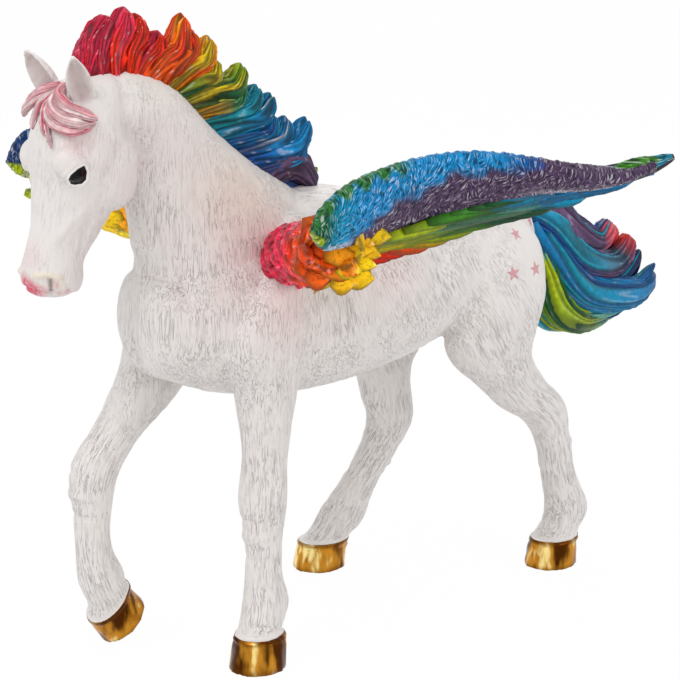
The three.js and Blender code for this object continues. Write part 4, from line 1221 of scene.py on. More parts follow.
def vane_forms(side):
    """The thin web under the feathers, its colours darkened as painted shade under them."""
    along = np.linspace(0.01, 0.985, 60)
    upper = wing_curve(WING_ROOTS, side, along)
    lower = upper + 0.86 * (wing_curve(WING_TRAIL, side, along) - upper)
    angle = full_turn(24)
    rings = []
    for a, b, run in zip(upper, lower, np.gradient(upper, axis=0)):
        chord = (a - b) / 2
        depth = np.cross(chord, run)
        depth *= VANE_HALF_DEPTH / np.linalg.norm(depth)
        rings.append((a + b) / 2 + np.outer(np.cos(angle), chord) + np.outer(np.sin(angle), depth))
    points, faces = closed_tube(np.array(rings))
    # colours at four fifths: painted shade under the feathers
    return points, faces, graded(points * [side, 1, 1] @ WING_SWEEP, UPPER_ROW_COLOURS) * 0.8


def arm_axes(side):
    """The upper arm's start and end, and its ways outwards, across and up."""
    start, end = on_wing(WING_ROOT, side), on_wing(WING_BEND, side)
    run = (end - start) / np.linalg.norm(end - start)
    across = np.cross(run, [0, 0, 1])
    across /= np.linalg.norm(across)
    return start, end, run, across, np.cross(across, run)


def arm_halves(share):
    """Half the upper arm's height and thickness at a share of its length."""
    return 5.2 - 2.4 * share, 5.4 - share


def arm_forms(side):
    """The short upper arm under the root tufts, its colours darkened as painted shade under them."""
    start, end, _run, across, up = arm_axes(side)
    angle = full_turn(40)
    rings = []
    for share in np.linspace(0, 1, 40):
        full = math.sqrt(1 - 0.98 * share ** 4)
        height, thick = arm_halves(share)
        rings.append(start + (end - start) * 0.9 * share
                     + np.outer(np.cos(angle), up * height * full)
                     + np.outer(np.sin(angle), across * thick * full))
    points, faces = closed_tube(np.array(rings))
    # colours at three fifths: painted shade under the tufts
    return points, faces, graded(points * [side, 1, 1] @ WING_SWEEP, TUFT_COLOURS) * 0.6


def feather_blade(name, crinkle, tip_power):
    """One feather for the rows: root at the origin, one long, one wide, gently domed."""
    rings, along = [], []
    angle = full_turn(10)
    across, lift = np.cos(angle), np.sin(angle)
    for t in np.linspace(0, 1, 7):
        half = 0.5 * (0.55 + 0.45 * min(1, t / 0.35)) * (1 - max(0, (t - 0.55) / 0.47) ** tip_power)
        dome = 0.5 * lift * (1 - 0.6 * t ** 3)
        fold = crinkle * np.sin(across * 9 + t * 5) * np.maximum(lift, 0)
        rings.append(np.stack([half * across, t + 0 * across, dome + fold], 1))
        along.extend([t] * len(angle))
    points, faces = closed_tube(np.array(rings))
    mesh = bpy.data.meshes.new(name)
    mesh.from_pydata(points.tolist(), [], faces)
    beside = np.tile(np.abs(across), len(rings)).tolist() + [0.0, 0.0]
    set_layer(mesh, "along", along + [0.0, 1.0])
    set_layer(mesh, "beside", beside)
    mesh.shade_smooth()
    blade = bpy.data.objects.new(name, mesh)
    bpy.context.scene.collection.objects.link(blade)
    return blade


def feather_row_tree():
    """Puts a feather on each point, turned to its reach and face and sized by its size."""
    tree = bpy.data.node_groups.new("feather_rows", "GeometryNodeTree")
    for label, kind in (("Points", "Geometry"), ("Feather", "Object"), ("Uneven", "Float"),
                        ("Seed", "Int"), ("Material", "Material")):
        tree.interface.new_socket(label, in_out="INPUT", socket_type="NodeSocket" + kind)
    tree.interface.new_socket("Feathers", in_out="OUTPUT", socket_type="NodeSocketGeometry")
    wires = Wires(tree)
    nodes, link = wires.nodes, wires.link
    source = nodes.new("NodeGroupInput")
    result = nodes.new("NodeGroupOutput")

    def named(label):
        node = nodes.new("GeometryNodeInputNamedAttribute")
        node.data_type = "FLOAT_VECTOR"
        node.inputs["Name"].default_value = label
        return node.outputs["Attribute"]

    lengthwise = nodes.new("FunctionNodeAlignRotationToVector")
    lengthwise.axis = "Y"
    link(named("reach"), lengthwise.inputs["Vector"])
    facing = nodes.new("FunctionNodeAlignRotationToVector")
    facing.axis = "Z"
    facing.pivot_axis = "Y"
    link(lengthwise.outputs["Rotation"], facing.inputs["Rotation"])
    link(named("face"), facing.inputs["Vector"])
    chance = nodes.new("FunctionNodeRandomValue")
    chance.data_type = "FLOAT_VECTOR"
    link(wires.math("SUBTRACT", 1.0, source.outputs["Uneven"]), chance.inputs["Min"])
    link(wires.math("ADD", 1.0, source.outputs["Uneven"]), chance.inputs["Max"])
    link(source.outputs["Seed"], chance.inputs["Seed"])
    place = nodes.new("GeometryNodeInstanceOnPoints")
    shape = nodes.new("GeometryNodeObjectInfo")
    link(source.outputs["Feather"], shape.inputs["Object"])
    link(source.outputs["Points"], place.inputs["Points"])
    link(shape.outputs["Geometry"], place.inputs["Instance"])
    link(facing.outputs["Rotation"], place.inputs["Rotation"])
    link(wires.scaled(named("size"), chance.outputs[0]), place.inputs["Scale"])
    real = nodes.new("GeometryNodeRealizeInstances")
    link(place.outputs["Instances"], real.inputs["Geometry"])
    dress = nodes.new("GeometryNodeSetMaterial")
    link(real.outputs["Geometry"], dress.inputs["Geometry"])
    link(source.outputs["Material"], dress.inputs["Material"])
    link(dress.outputs["Geometry"], result.inputs["Feathers"])
    return tree


def feather_enamel():
    """Feather paint: each feather's tint, with painted shade at its root, along its sides and in
    creases, and brushed pale at its end.
    """
    material = enamel("feather_enamel", 0.4, 0.15, 0.3)
    wires = Wires(material.node_tree)
    shader = wires.nodes["Principled BSDF"]
    tint = shader.inputs["Base Color"].links[0].from_socket
    along = wires.attribute("along")
    place = wires.object_place()
    # painted shade at each feather's root
    root_shade = wires.spread(along, 0.0, 0.4, 0.6, 0.0)
    crease_shade = wires.spread(wires.noise(place, 1500.0, 2.0), 0.34, 0.5, 0.4, 0.0)
    # painted shade along each feather's sides, so its middle ridge looks lit
    edges = wires.spread(wires.attribute("beside"), 0.45, 1.0, 0.0, 0.7)
    dark = wires.math("MAXIMUM", wires.math("MAXIMUM", root_shade, crease_shade), edges)
    colour = wires.mix(dark, tint, FEATHER_SHADE)
    brushed = wires.math("MULTIPLY", wires.spread(along, 0.7, 1.0),
                         wires.spread(wires.noise(place, 900.0, 2.0), 0.5, 0.68))
    colour = wires.mix(wires.math("MULTIPLY", brushed, 0.22), colour, SILVER)
    wires.link(colour, shader.inputs["Base Color"])
    return material


def scratched_enamel():
    """The band's paint: short pale scratches in small fields, each field lying its own way."""
    material = enamel("wing_enamel", 0.4, 0.1, 0.3)
    wires = Wires(material.node_tree)
    nodes, link = wires.nodes, wires.link
    shader = nodes["Principled BSDF"]
    tint = shader.inputs["Base Color"].links[0].from_socket
    place = wires.attribute("band", "Vector")
    fields = nodes.new("ShaderNodeTexVoronoi")
    fields.inputs["Scale"].default_value = 0.42
    link(place, fields.inputs["Vector"])
    chance = nodes.new("ShaderNodeSeparateColor")
    link(fields.outputs["Color"], chance.inputs[0])
    turn = nodes.new("ShaderNodeVectorRotate")
    turn.rotation_type = "Z_AXIS"
    link(place, turn.inputs["Vector"])
    link(wires.math("MULTIPLY_ADD", chance.outputs[0], 1.9, -0.6), turn.inputs["Angle"])
    streaks = wires.noise(wires.scaled(turn.outputs[0], (3.1, 0.65, 1.0)), 1.0, 1.5)
    dust = wires.spread(wires.noise(place, 0.35, 2.0), 0.35, 0.65, 0.3, 1.0)
    pale = wires.math("MULTIPLY", wires.spread(streaks, 0.56, 0.64), dust)
    dark = wires.spread(streaks, 0.49, 0.38)
    shaded = wires.mix(wires.math("MULTIPLY", dark, 0.75), tint, SCRATCH_DARK)
    tinted = wires.mix(0.4, SILVER, tint)
    colour = wires.mix(wires.math("MULTIPLY", pale, 0.75), shaded, tinted)
    link(colour, shader.inputs["Base Color"])
    bump = shader.inputs["Normal"].links[0].from_node
    link(streaks, bump.inputs["Height"])
    bump.inputs["Distance"].default_value = 0.0004
    return material


class FeatherRow:
    """Feathers collected for one plain mesh."""

    def __init__(self):
        self.feathers = []

    def add(self, start, end, face, width, tint):
        """Where a feather starts and ends, the way it faces, its width and its colour."""
        self.feathers.append((start, end, face, width, tint))

    def piece(self, name, tree, blade, material, uneven):
        """The mesh, with a feather on each point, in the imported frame."""
        starts, ends, faces, width, tints = (np.array(part) for part in zip(*self.feathers))
        reach = ends - starts
        size = np.stack([width, np.linalg.norm(reach, axis=1), width * 0.45], 1) * MM
        rows = make_object(name, starts, [])
        for label, values in (("reach", reach), ("face", faces), ("size", size)):
            set_layer(rows.data, label, values)
        set_paint(rows.data, tints)
        modifier = rows.modifiers.new("rows", "NODES")
        modifier.node_group = tree
        inputs = {item.name: item.identifier for item in tree.interface.items_tree
                  if item.item_type == "SOCKET" and item.in_out == "INPUT"}
        for label, value in (("Feather", blade), ("Uneven", uneven), ("Seed", FEATHER_SEED),
                             ("Material", material)):
            modifier[inputs[label]] = value
        return applied(rows)


def swept_tint(point, side, colours, chance):
    """A feather's colour by how far back along the wing it lies, a little uneven."""
    sweep = point @ (WING_SWEEP * [side, 1, 1]) + chance.uniform(-1.2, 1.2)
    sweep += 0 if side > 0 else RIGHT_SWEEP_STEP + RIGHT_SWEEP_SLOPE * abs(point[0])
    return graded(np.array([sweep]), colours)[0] * chance.uniform(0.9, 1.4)


def vane_place(side, along, share):
    """A point on the vane: along the wing, and from its arm to its trailing edge."""
    along = np.array([min(max(along, 0.0), 1.0)])
    root = wing_curve(WING_ROOTS, side, along)[0]
    return root + (wing_curve(WING_TRAIL, side, along)[0] - root) * share


# Flat feather rows on the vane: reach over it, number, rise above it, width
FLAT_ROWS = [(0.94, 30, 0.0, 3.4), (0.72, 28, 0.9, 3.2), (0.42, 26, 1.6, 3.0)]
# Rows that hang at the outer side: share of the way to the trailing edge, number, width
HANGING_ROWS = [(1.0, 25, 3.0), (0.86, 30, 2.8), (0.72, 28, 2.8), (0.58, 26, 2.8),
                (0.44, 26, 2.6), (0.3, 24, 2.6)]
HANGING_FACE = np.array([0.82, -0.35, 0.45])
# How far the lowest row's ends hang below the trailing edge
EDGE_DROP = 1.6
# Rings of tufts along the upper arm and tufts in each, and how deep their roots are sunk
TUFT_RINGS = (10, 9)
TUFT_SINK = 0.6


def flat_feathers(row, side, chance):
    """Long feathers that lie on the vane from the arm outwards, row over row."""
    for share, count, lift, width in FLAT_ROWS:
        for i in range(count):
            along = min((i + 0.5 * (count % 4)) / count, 0.97)
            root = vane_place(side, along, 0)
            tip = vane_place(side, along + 0.10 + 0.05 * along, share)
            face = np.cross(tip - root, vane_place(side, along + 0.02, 0) - root)
            face /= max(np.linalg.norm(face), 1e-6)
            if face[2] < 0:
                face = -face
            tint = swept_tint(tip, side, LOWER_ROW_COLOURS, chance)
            row.add(root + face * lift, tip + face * (lift - 0.5), face,
                    width * chance.uniform(0.8, 1.0), tint)


def hanging_feathers(row, side, chance):
    """Short feathers on the wing's outer side, each row over the ends of the one below."""
    face = HANGING_FACE * [side, 1, 1]
    for number, (share, count, width) in enumerate(HANGING_ROWS):
        colours = LOWER_ROW_COLOURS if number < 1 else UPPER_ROW_COLOURS
        for i in range(count):
            along = (i + 0.5 * (number % 2)) / count * 0.9
            start = vane_place(side, along, share - 0.28)
            end = vane_place(side, along + 0.07 + 0.03 * chance.random(), share)
            if number < 1:
                end = end - [0, 0, EDGE_DROP * chance.uniform(0.6, 1.3)]
            out = 0.35 + 0.2 * number
            row.add(start + face * (out - 0.5), end + face * (out + 0.4), face,
                    width * chance.uniform(0.8, 1.15), swept_tint(end, side, colours, chance))


def root_tufts(row, side, chance):
    """Crumpled petal-like tufts over the upper arm."""
    start, end, run, across, up = arm_axes(side)
    rows, around = TUFT_RINGS
    for number in range(rows):
        share = -0.03 + 0.98 * number / rows
        height, thick = arm_halves(share)
        for i in range(around):
            angle = (i + 0.5 * (number % 2) + chance.uniform(-0.2, 0.2)) / around * 2 * math.pi
            out = up * math.cos(angle) + across * math.sin(angle)
            base = start + (end - start) * share + up * math.cos(angle) * (height - TUFT_SINK)
            base = base + across * math.sin(angle) * (thick - TUFT_SINK)
            sway = np.cross(run, out) * chance.uniform(-1.2, 1.2)
            tip = base + run * chance.uniform(5.0, 7.0) + out * 0.9 + sway
            row.add(base, tip, out, chance.uniform(4.6, 6.0),
                    swept_tint((base + tip) / 2, side, TUFT_COLOURS, chance))
    end_tufts(row, side, chance, start + (end - start) * 0.86, run)


def end_tufts(row, side, chance, middle, run):
    """Tufts over the blunt outer end of the upper arm, swept back and down."""
    back = np.array([0.0, 1.0, -0.3])
    back -= run * (back @ run)
    back /= np.linalg.norm(back)
    beside = np.cross(run, back)
    for i in range(6):
        for j in range(5):
            down, across = (i - 3.5) * 2.1, (j - 2 + 0.5 * (i % 2)) * 2.3
            if math.hypot(down, across) > 6.3:
                continue
            swell = 3.0 * (1 - (down ** 2 + across ** 2) / 50)
            base = middle + back * down + beside * across + run * swell
            tip = base + back * chance.uniform(4.4, 5.8) + run * 0.5
            tip = tip + beside * chance.uniform(-1.0, 1.0)
            row.add(base, tip, run, chance.uniform(3.6, 4.8),
                    swept_tint((base + tip) / 2, side, TUFT_COLOURS, chance))


# The long flight feathers, from the top one down: their colours on the left and on the right
# wing, how far each one's middle is raised, how far it reaches towards the tip, its half width
PRIMARIES = [
    (GREEN, TEAL, 0.7, 0.66, 1.1), (TEAL, TEAL, -0.3, 0.9, 1.4),
    (DARK_PURPLE, LIME, -0.6, 0.98, 1.9), (mixed(PURPLE, DARK_PURPLE, 0.6), LIME, -0.8, 1.0, 1.9),
    (mixed(PURPLE, SILVER, 0.45), LIME, -0.6, 0.98, 1.9), (BLUE, GREEN, 0.0, 0.92, 1.9),
]
# Where the lowest one starts, as a share of the band's lower and upper edges, and how much
# further along the top one does
PRIMARY_ROOTS = (0.7, 0.72)
PRIMARY_SPREAD = 0.13


def primary_forms(side):
    """The long slim flight feathers that make the wing's tip."""
    parts = []
    tip, low = on_wing(WING_TIP, side), on_wing(WING_TRAIL[-1], side)
    if side < 0:
        tip, low = tip + RIGHT_TIP_STEP, low + RIGHT_TIP_STEP
    for number, (left_tone, right_tone, rise, reach, half) in enumerate(PRIMARIES):
        share = number / (len(PRIMARIES) - 1)
        start, top = (
            wing_curve(edge, side, np.array([root + PRIMARY_SPREAD * (1 - share)]))[0]
            for edge, root in zip((WING_EDGE, WING_TOP), PRIMARY_ROOTS))
        start = start + (top - start) * (0.7 * (1 - share))
        end = start + (tip + (low - tip) * 0.6 * share - start) * reach
        middle = (start + end) / 2 + np.array([0, 0, rise])
        lock = Lock([start, middle, end], half, 0.8, (side, 0, 0.35), 500 + number, rings=60,
                    sides=40, strand=0.8, relief=0.16, blunt=0.3)
        # the scratches run along the feather
        place = lock.points @ [[0, 0, 0], [0.15, 0, 0], [0, 1.5, 0]]
        colours = lock.colours(left_tone if side > 0 else right_tone, groove=0.4,
                               accents=[(SILVER, 0.08)], highlight_drybrush=0.3)
        parts.append((lock.points, lock.faces, colours, place))
    return parts


def make_band(side, name, material):
    """The band, the vane, the upper arm and the flight feathers as one closed-part mesh."""
    parts = [band_forms(side), vane_forms(side), arm_forms(side), *primary_forms(side)]
    points, faces = joined_forms([part[:2] for part in parts])
    piece = make_object(name + "_band", points, faces)
    set_paint(piece.data, np.vstack([part[2] for part in parts]))
    # forms without scratches of their own take their plain place instead
    place = np.vstack([part[3] if len(part) > 3 else part[0] for part in parts])
    set_layer(piece.data, "band", place)
    finished(piece, material, "wing_paint", name)


def make_wings():
    tree = feather_row_tree()
    long_blade = feather_blade("long_feather", 0.06, 2.0)
    petal_blade = feather_blade("petal_tuft", 0.2, 1.5)
    band_paint, feather_paint = scratched_enamel(), feather_enamel()
    for side in (1, -1):
        name = "left_wing" if side > 0 else "right_wing"
        chance = np.random.default_rng(31 if side > 0 else 32)
        make_band(side, name, band_paint)
        feathers, tufts = FeatherRow(), FeatherRow()
        flat_feathers(feathers, side, chance)
        hanging_feathers(feathers, side, chance)
        root_tufts(tufts, side, chance)
        for label, row, blade, uneven in (("_feathers", feathers, long_blade, 0.12),
                                          ("_tufts", tufts, petal_blade, 0.2)):
            piece = row.piece(name + label, tree, blade, feather_paint, uneven)
            finished(piece, feather_paint, "wing_paint", name)
    for blade in (long_blade, petal_blade):
        bpy.data.objects.remove(blade)


# Carved forms of the left side as strokes, which the right side has too: path, width, height
HEAD_STROKES = [
    # hollow behind the round cheek, and the cheek's own rim
    ([(7.0, -53.4, 103.6), (6.2, -50.8, 101.6), (5.4, -48.6, 97.6), (4.6, -48.6, 92.4)],
     2.2, -0.6),
    ([(7.6, -58.6, 102.6), (7.0, -55.4, 101.6), (5.9, -52.4, 99.6), (5.3, -51.2, 96.8),
      (4.2, -51.2, 92.6)], 2.6, 0.35),
    # hollow over the eye and hollow in front of it
    ([(6.9, -64.6, 102.2), (7.7, -63.3, 101.5), (8.2, -61.7, 100.9)], 3.2, -0.55),
    ([(5.9, -66.6, 93.2), (5.2, -67.0, 89.6)], 3.0, -0.3),
    # facial crest
    ([(6.4, -62.5, 90.5), (5.4, -64.8, 88.1), (3.9, -67.8, 84.4)], 1.8, 0.4),
    ([(6.4, -60.2, 89.4), (5.2, -63.0, 86.2), (4.4, -65.0, 83.0)], 1.8, -0.35),
    # groove along the lower jaw
    ([(5.7, -61.8, 87.9), (5.0, -62.4, 84.6), (4.5, -62.8, 81.7)], 1.5, -0.5),
]
NOSTRIL_RIM = [(2.9, -71.0, 78.9), (4.4, -69.4, 79.1), (5.1, -67.6, 78.3), (4.7, -66.7, 76.6)]
NOSTRIL_SLIT = [(4.3, -69.0, 78.1), (4.1, -68.8, 77.2), (3.8, -68.6, 76.2)]
NOSTRIL_INNER = [(4.7, -68.0, 78.0), (4.6, -67.8, 77.0)]
CHIN_STREAK = [(3.9, -67.2, 75.6), (4.2, -65.4, 75.6)]
FACE_STROKES = [
    # upper and lower eyelids
    ([(5.6, -66.9, 94.7), (7.3, -66.9, 96.9), (8.3, -65.4, 98.6), (8.6, -63.4, 98.8)], 0.9, 0.24),
    ([(5.8, -66.1, 94.3), (6.9, -64.6, 94.2), (7.7, -63.2, 95.3), (8.2, -62.6, 97.0)], 0.8, 0.16),
    (NOSTRIL_RIM, 1.0, 0.45),
    (NOSTRIL_SLIT, 1.1, -0.7),
    # mouth, and the fold behind its corner
    ([(0.0, -71.4, 76.5), (2.2, -70.6, 76.0), (3.8, -68.4, 75.6), (4.6, -65.6, 76.0)], 0.7, -0.4),
    ([(4.9, -65.6, 77.4), (4.4, -64.2, 76.2), (3.2, -63.0, 75.4)], 1.4, 0.25),
]
TRUNK_STROKES = [
    # groove down the neck, and the crest's edge
    ([(6.0, -49.6, 99.4), (5.4, -48.1, 93.8), (5.9, -45.8, 87.3), (7.2, -43.5, 81.7),
      (8.3, -42.2, 76.2)], 7.0, -0.9),
    ([(6.2, -42.0, 104.6), (6.6, -36.4, 98.4), (7.6, -29.6, 92.4)], 6.0, 0.35),
    # where the neck meets the chest
    ([(0.0, -49.4, 79.5), (3.1, -47.5, 78.4), (7.3, -44.9, 75.1), (10.9, -42.0, 71.9)], 3.6, -0.5),
    # breast groove and the breast muscle's edge
    ([(0.0, -50.4, 74.0), (0.0, -50.8, 66.0), (0.0, -49.0, 58.0)], 3.6, -0.8),
    ([(7.9, -42.6, 78.5), (9.2, -43.6, 73.7), (10.5, -45.1, 66.7), (8.2, -43.5, 58.5)], 3.0, -0.4),
    # forearm's front and back edges on the chest
    ([(11.0, -36.6, 52.4), (13.8, -37.6, 58.6), (14.6, -36.6, 64.6)], 3.0, -0.6),
    ([(15.2, -22.0, 52.8), (16.6, -21.0, 59.0), (17.2, -21.6, 66.0)], 4.0, -0.6),
    # shoulder point
    ([(15.0, -33.0, 66.0), (15.8, -29.0, 74.0)], 6.0, 0.4),
    # flank hollow and the haunch muscles
    ([(14.9, 14.2, 75.7), (16.3, 11.8, 70.2), (16.5, 11.2, 65.3), (15.1, 11.1, 60.2)], 5.6, -1.0),
    ([(15.5, 20.4, 71.1), (15.4, 22.9, 63.5), (16.4, 26.0, 53.9), (14.8, 32.8, 45.0)], 3.6, -0.4),
    ([(15.8, 25.1, 67.4), (17.2, 27.4, 59.1), (16.7, 31.4, 51.6)], 5.0, 0.35),
    ([(14.2, 9.4, 56.4), (14.0, 13.6, 55.4), (13.4, 18.0, 53.0)], 2.6, 0.5),
    ([(11.0, 43.4, 72.0), (11.6, 44.6, 64.0), (10.6, 44.0, 56.0)], 3.6, -0.4),
]
# Leg forms at a level: share down the leg, angle round it in degrees (0 is the front, 90 the
# outer side), length round it, width, height
HIND_LUMPS = [(0.655, 180, 50, 2.2, 0.5), (0.70, 0, 120, 1.6, -0.2), (0.915, 180, 90, 1.6, 0.6)]
LEG_LUMPS = {
    "left_foreleg": [
        (0.625, 0, 150, 2.2, 0.45), (0.585, 0, 120, 1.4, -0.25), (0.675, 0, 120, 1.4, -0.25),
        (0.905, 180, 110, 2.0, 0.5), (0.60, 180, 60, 1.6, 0.3),
    ],
    "right_foreleg": [
        (0.585, 0, 150, 2.2, 0.45), (0.55, 0, 120, 1.4, -0.25), (0.63, 0, 120, 1.4, -0.25),
        (0.905, 180, 90, 1.6, 0.6),
    ],
    "left_hind_leg": HIND_LUMPS,
    "right_hind_leg": HIND_LUMPS,
}
# Tendons: share down the leg from and to, angle, width, height
HIND_CORDS = [
    (0.68, 0.88, 150, 1.6, 0.25), (0.68, 0.88, 115, 1.4, -0.3), (0.50, 0.64, 140, 2.0, -0.45),
    (0.42, 0.62, 60, 3.0, 0.3),
]
LEG_CORDS = {
    "left_foreleg": [(0.66, 0.88, 150, 1.6, 0.25), (0.66, 0.88, 115, 1.4, -0.3),
                     (0.40, 0.60, 60, 2.4, -0.25), (0.36, 0.58, 100, 3.0, 0.25)],
    "right_foreleg": [(0.64, 0.86, 150, 1.6, 0.25), (0.64, 0.86, 115, 1.4, -0.3),
                      (0.36, 0.56, 240, 2.4, -0.25), (0.34, 0.56, 300, 3.0, 0.25)],
    "left_hind_leg": HIND_CORDS,
    "right_hind_leg": HIND_CORDS,
}
# The eye's opening in its own plane, to the right and up from its middle
EYE_MIDDLE = np.array([8.2, -65.1, 96.8])
EYE_RIGHT = np.array([0.629, 0.777, 0.0])
EYE_UP = np.array([-0.188, 0.152, 0.970])
EYE_OUTLINE = [
    (1.15, 1.6), (1.45, 0.6), (1.2, -0.7), (0.45, -1.4), (-0.75, -1.6), (-1.45, -1.45),
    (-1.6, -0.95), (-1.1, -0.15), (0.1, 0.95),
]
# Stars on each haunch: y, z and radius, and how far all are turned, in radians
STARS = [(33.9, 75.6, 1.35), (30.9, 68.2, 1.75), (37.0, 68.4, 1.75), (43.6, 76.4, 1.6)]
STAR_TURN = 0.1
# How much shorter the carved hair's layout is along the hair than the body is
HAIR_SHORTENED = 0.17
# A value for places that a painted form doesn't reach, in millimetres outside it
OUTSIDE = -10.0


def leg_frame(leg):
    """The leg's middle line with its forward directions."""
    rows = leg_rows(leg)
    middle = rows[:, :3]
    run = unit_rows(np.gradient(middle, axis=0))
    forward = unit_rows(np.cross(run, [1.0, 0, 0]))
    forward *= np.where(forward[:, 1] > 0, -1, 1)[:, None]
    return middle, forward, rows


def leg_spot(leg, share, angle):
    """A point on a leg's skin at a share down it and an angle round it, 0 at the front."""
    middle, forward, rows = leg_frame(leg)
    place = share * (len(middle) - 1)
    at = min(int(place), len(middle) - 2)
    t = place - at
    centre = middle[at] * (1 - t) + middle[at + 1] * t
    half, front, back = rows[at, 3:6] * (1 - t) + rows[at + 1, 3:6] * t
    turn = math.radians(angle)
    reach = front if math.cos(turn) > 0 else back
    outer = np.array([leg["side"] * 1.0, 0, 0])
    return centre + forward[at] * reach * math.cos(turn) + outer * half * math.sin(turn)


def carve_legs(carver):
    """Knees, hocks, fetlocks and tendons."""
    for name, leg in LEGS.items():
        for share, angle, span, width, height in LEG_LUMPS[name]:
            turns = np.linspace(angle - span / 2, angle + span / 2, 9)
            carver.stroke([leg_spot(leg, share, turn) for turn in turns], width, height)
        for start, end, angle, width, height in LEG_CORDS[name]:
            shares = np.linspace(start, end, 9)
            carver.stroke([leg_spot(leg, share, angle) for share in shares], width, height)


def hoof_height(points, leg):
    """Millimetres below the line where the hoof's gold starts."""
    crown, up = hoof_crown(leg)
    return GOLD_RISE - (points - crown) @ up


def polygon_distance(points, outline):
    """Signed distance to a closed outline, positive inside, for points of two columns."""
    outline = np.asarray(outline, float)
    ends = np.roll(outline, -1, axis=0)
    best = np.full(len(points), 1e9)
    inside = np.zeros(len(points), bool)
    for a, b in zip(outline, ends):
        run = b - a
        t = np.clip((points - a) @ run / (run @ run), 0, 1)
        best = np.minimum(best, np.linalg.norm(points - a - t[:, None] * run, axis=1))
        crosses = (a[1] > points[:, 1]) != (b[1] > points[:, 1])
        edge = a[0] + (points[:, 1] - a[1]) / (run[1] if run[1] else 1e-9) * run[0]
        inside ^= crosses & (points[:, 0] < edge)
    return np.where(inside, best, -best)


def near(points, middle, radius):
    """1 at the middle, fading to 0 at about twice the radius, on both sides of the body."""
    gap = np.linalg.norm(folded(points) - np.array(middle), axis=1)
    return np.exp(-(gap / radius) ** 2)


def trunk_hair(points):
    """Coordinates stretched along the carved hair on trunk, neck and head."""
    slant = np.interp(points[:, 1], [-60, -45, -25, -5, 20, 50], [-0.2, 0.0, 0.0, 0.35, 0.6, 0.6])
    across = points[:, 1] + slant * (points[:, 2] - 65)
    return np.stack([points[:, 0], across, points[:, 2] * HAIR_SHORTENED], 1)


def back_hair(points):
    """Coordinates stretched along the back, where the hair lies flat towards the tail."""
    return np.stack([points[:, 0], points[:, 1] * HAIR_SHORTENED, points[:, 2]], 1)


def leg_hair(points, leg):
    """Coordinates stretched down a leg."""
    middle, forward, _rows = leg_frame(leg)
    _gap, share = distance_to_path(points, middle)
    at = share * (len(middle) - 1)
    low = np.clip(at.astype(int), 0, len(middle) - 2)
    t = (at - low)[:, None]
    centre = middle[low] * (1 - t) + middle[low + 1] * t
    ahead = forward[low] * (1 - t) + forward[low + 1] * t
    offset = points - centre
    length = lengths_along(middle)
    down = length[low] * (1 - t[:, 0]) + length[low + 1] * t[:, 0]
    return np.stack([offset[:, 0], (offset * ahead).sum(1), down * HAIR_SHORTENED], 1)


def eye_opening(points):
    """Millimetres inside the outline of the eye."""
    place = folded(points) - EYE_MIDDLE
    seen = np.column_stack([place @ EYE_RIGHT, place @ EYE_UP])
    outer = np.cross(EYE_RIGHT, EYE_UP)
    return np.where(np.abs(place @ outer) < 3, polygon_distance(seen, EYE_OUTLINE), OUTSIDE)


def face_paint(points, normals):
    """How rosy the head is at lips, nostrils, brows and ears, and its painted shade in nostril slits
    and ear bowls.
    """
    left = folded(points)
    over = 80.4 - 0.62 * left[:, 0] - left[:, 2]
    lips = soft_step(over, 0.1, 2.8) * soft_step(-left[:, 1], 68.0, 70.6)
    lips = lips * soft_step(left[:, 2], 73.8, 75.0)
    # painted shade in the nostril slits, and below in the ear bowls
    dark = close_to_path(left, NOSTRIL_SLIT, 0.42)
    touches = [
        0.16 * near(points, (1.2, -71.2, 82), 2.4), 0.5 * close_to_path(left, NOSTRIL_INNER, 0.55),
        0.45 * close_to_path(left, CHIN_STREAK, 0.6), 0.2 * near(points, (7.2, -64, 102), 3),
    ]
    for side in (1, -1):
        root, reach, _across, out = ear_axes(side)
        bowl = close_to_path(points, [root + 0.15 * reach, root + 0.7 * reach], 1.3)
        bowl = bowl * soft_step(normals @ out, 0.0, 0.5)
        dark = np.maximum(dark, 0.45 * bowl)
        touches.append(0.2 * bowl)
    lips = np.max([lips, *touches], axis=0)
    return lips * (1 - close_to_path(left, NOSTRIL_RIM, 0.5)), dark


def body_attributes(piece, name):
    """What the white paint reads: hair direction and depth, gold, eye, lips, painted hollow shade and
    blush.
    """
    points, normals = layout_points(piece.data), normals_of(piece.data)
    coat = 0.8 - 0.35 * soft_step(points[:, 2], 84, 100)
    warm = near(points, (8.4, -31, 89), 8) * 0.8 + near(points, (5.5, -47, 111), 5) * 0.3
    lips = hollow_shade = np.zeros(len(points))
    eye = gold = np.full(len(points), OUTSIDE)
    if name == "head":
        coat = np.full(len(points), 0.28)
        eye = eye_opening(points)
        lips, hollow_shade = face_paint(points, normals)
        warm = warm + 1.8 * close_to_path(folded(points), NOSTRIL_RIM, 0.6)
    coat = np.clip(coat - near(points, (15, 37, 71), 9) * 0.7, 0.05, 1)
    if name in LEGS:
        other_hair = leg_hair(points, LEGS[name])
        lay = soft_step(-plane_side(points, LEGS[name]["seam"]), 0.5, 8)
        gold = hoof_height(points, LEGS[name])
        coat = np.clip(coat + 0.15, 0, 1) * (1 - soft_step(gold, -1.2, -0.2))
    else:
        other_hair = back_hair(points)
        lay = soft_step(normals[:, 2], 0.6, 0.95)
    blush = near(points, (15.6, -1, 73), 7) * 0.55 + near(points, (17.4, -25, 68), 6) * 0.6
    blush = blush + near(points, (12, -30, 80), 7) * 0.3
    for label, values in (("coat", coat), ("lay", lay), ("gold", gold), ("eye", eye),
                          ("lips", lips), ("hollow_shade", hollow_shade), ("blush", blush), ("warm", warm),
                          ("hair_a", trunk_hair(points)), ("hair_b", other_hair)):
        set_layer(piece.data, label, values)


def mesh_arrays(piece):
    mesh = piece.data
    corners = np.empty(len(mesh.polygons) * 4, np.int32)
    mesh.polygons.foreach_get("vertices", corners)
    return layout_points(mesh), corners.reshape(-1, 4)


def face_edges(quads):
    """The four directed edges of each face, one after another."""
    return np.concatenate([quads[:, [i, (i + 1) % 4]] for i in range(4)])


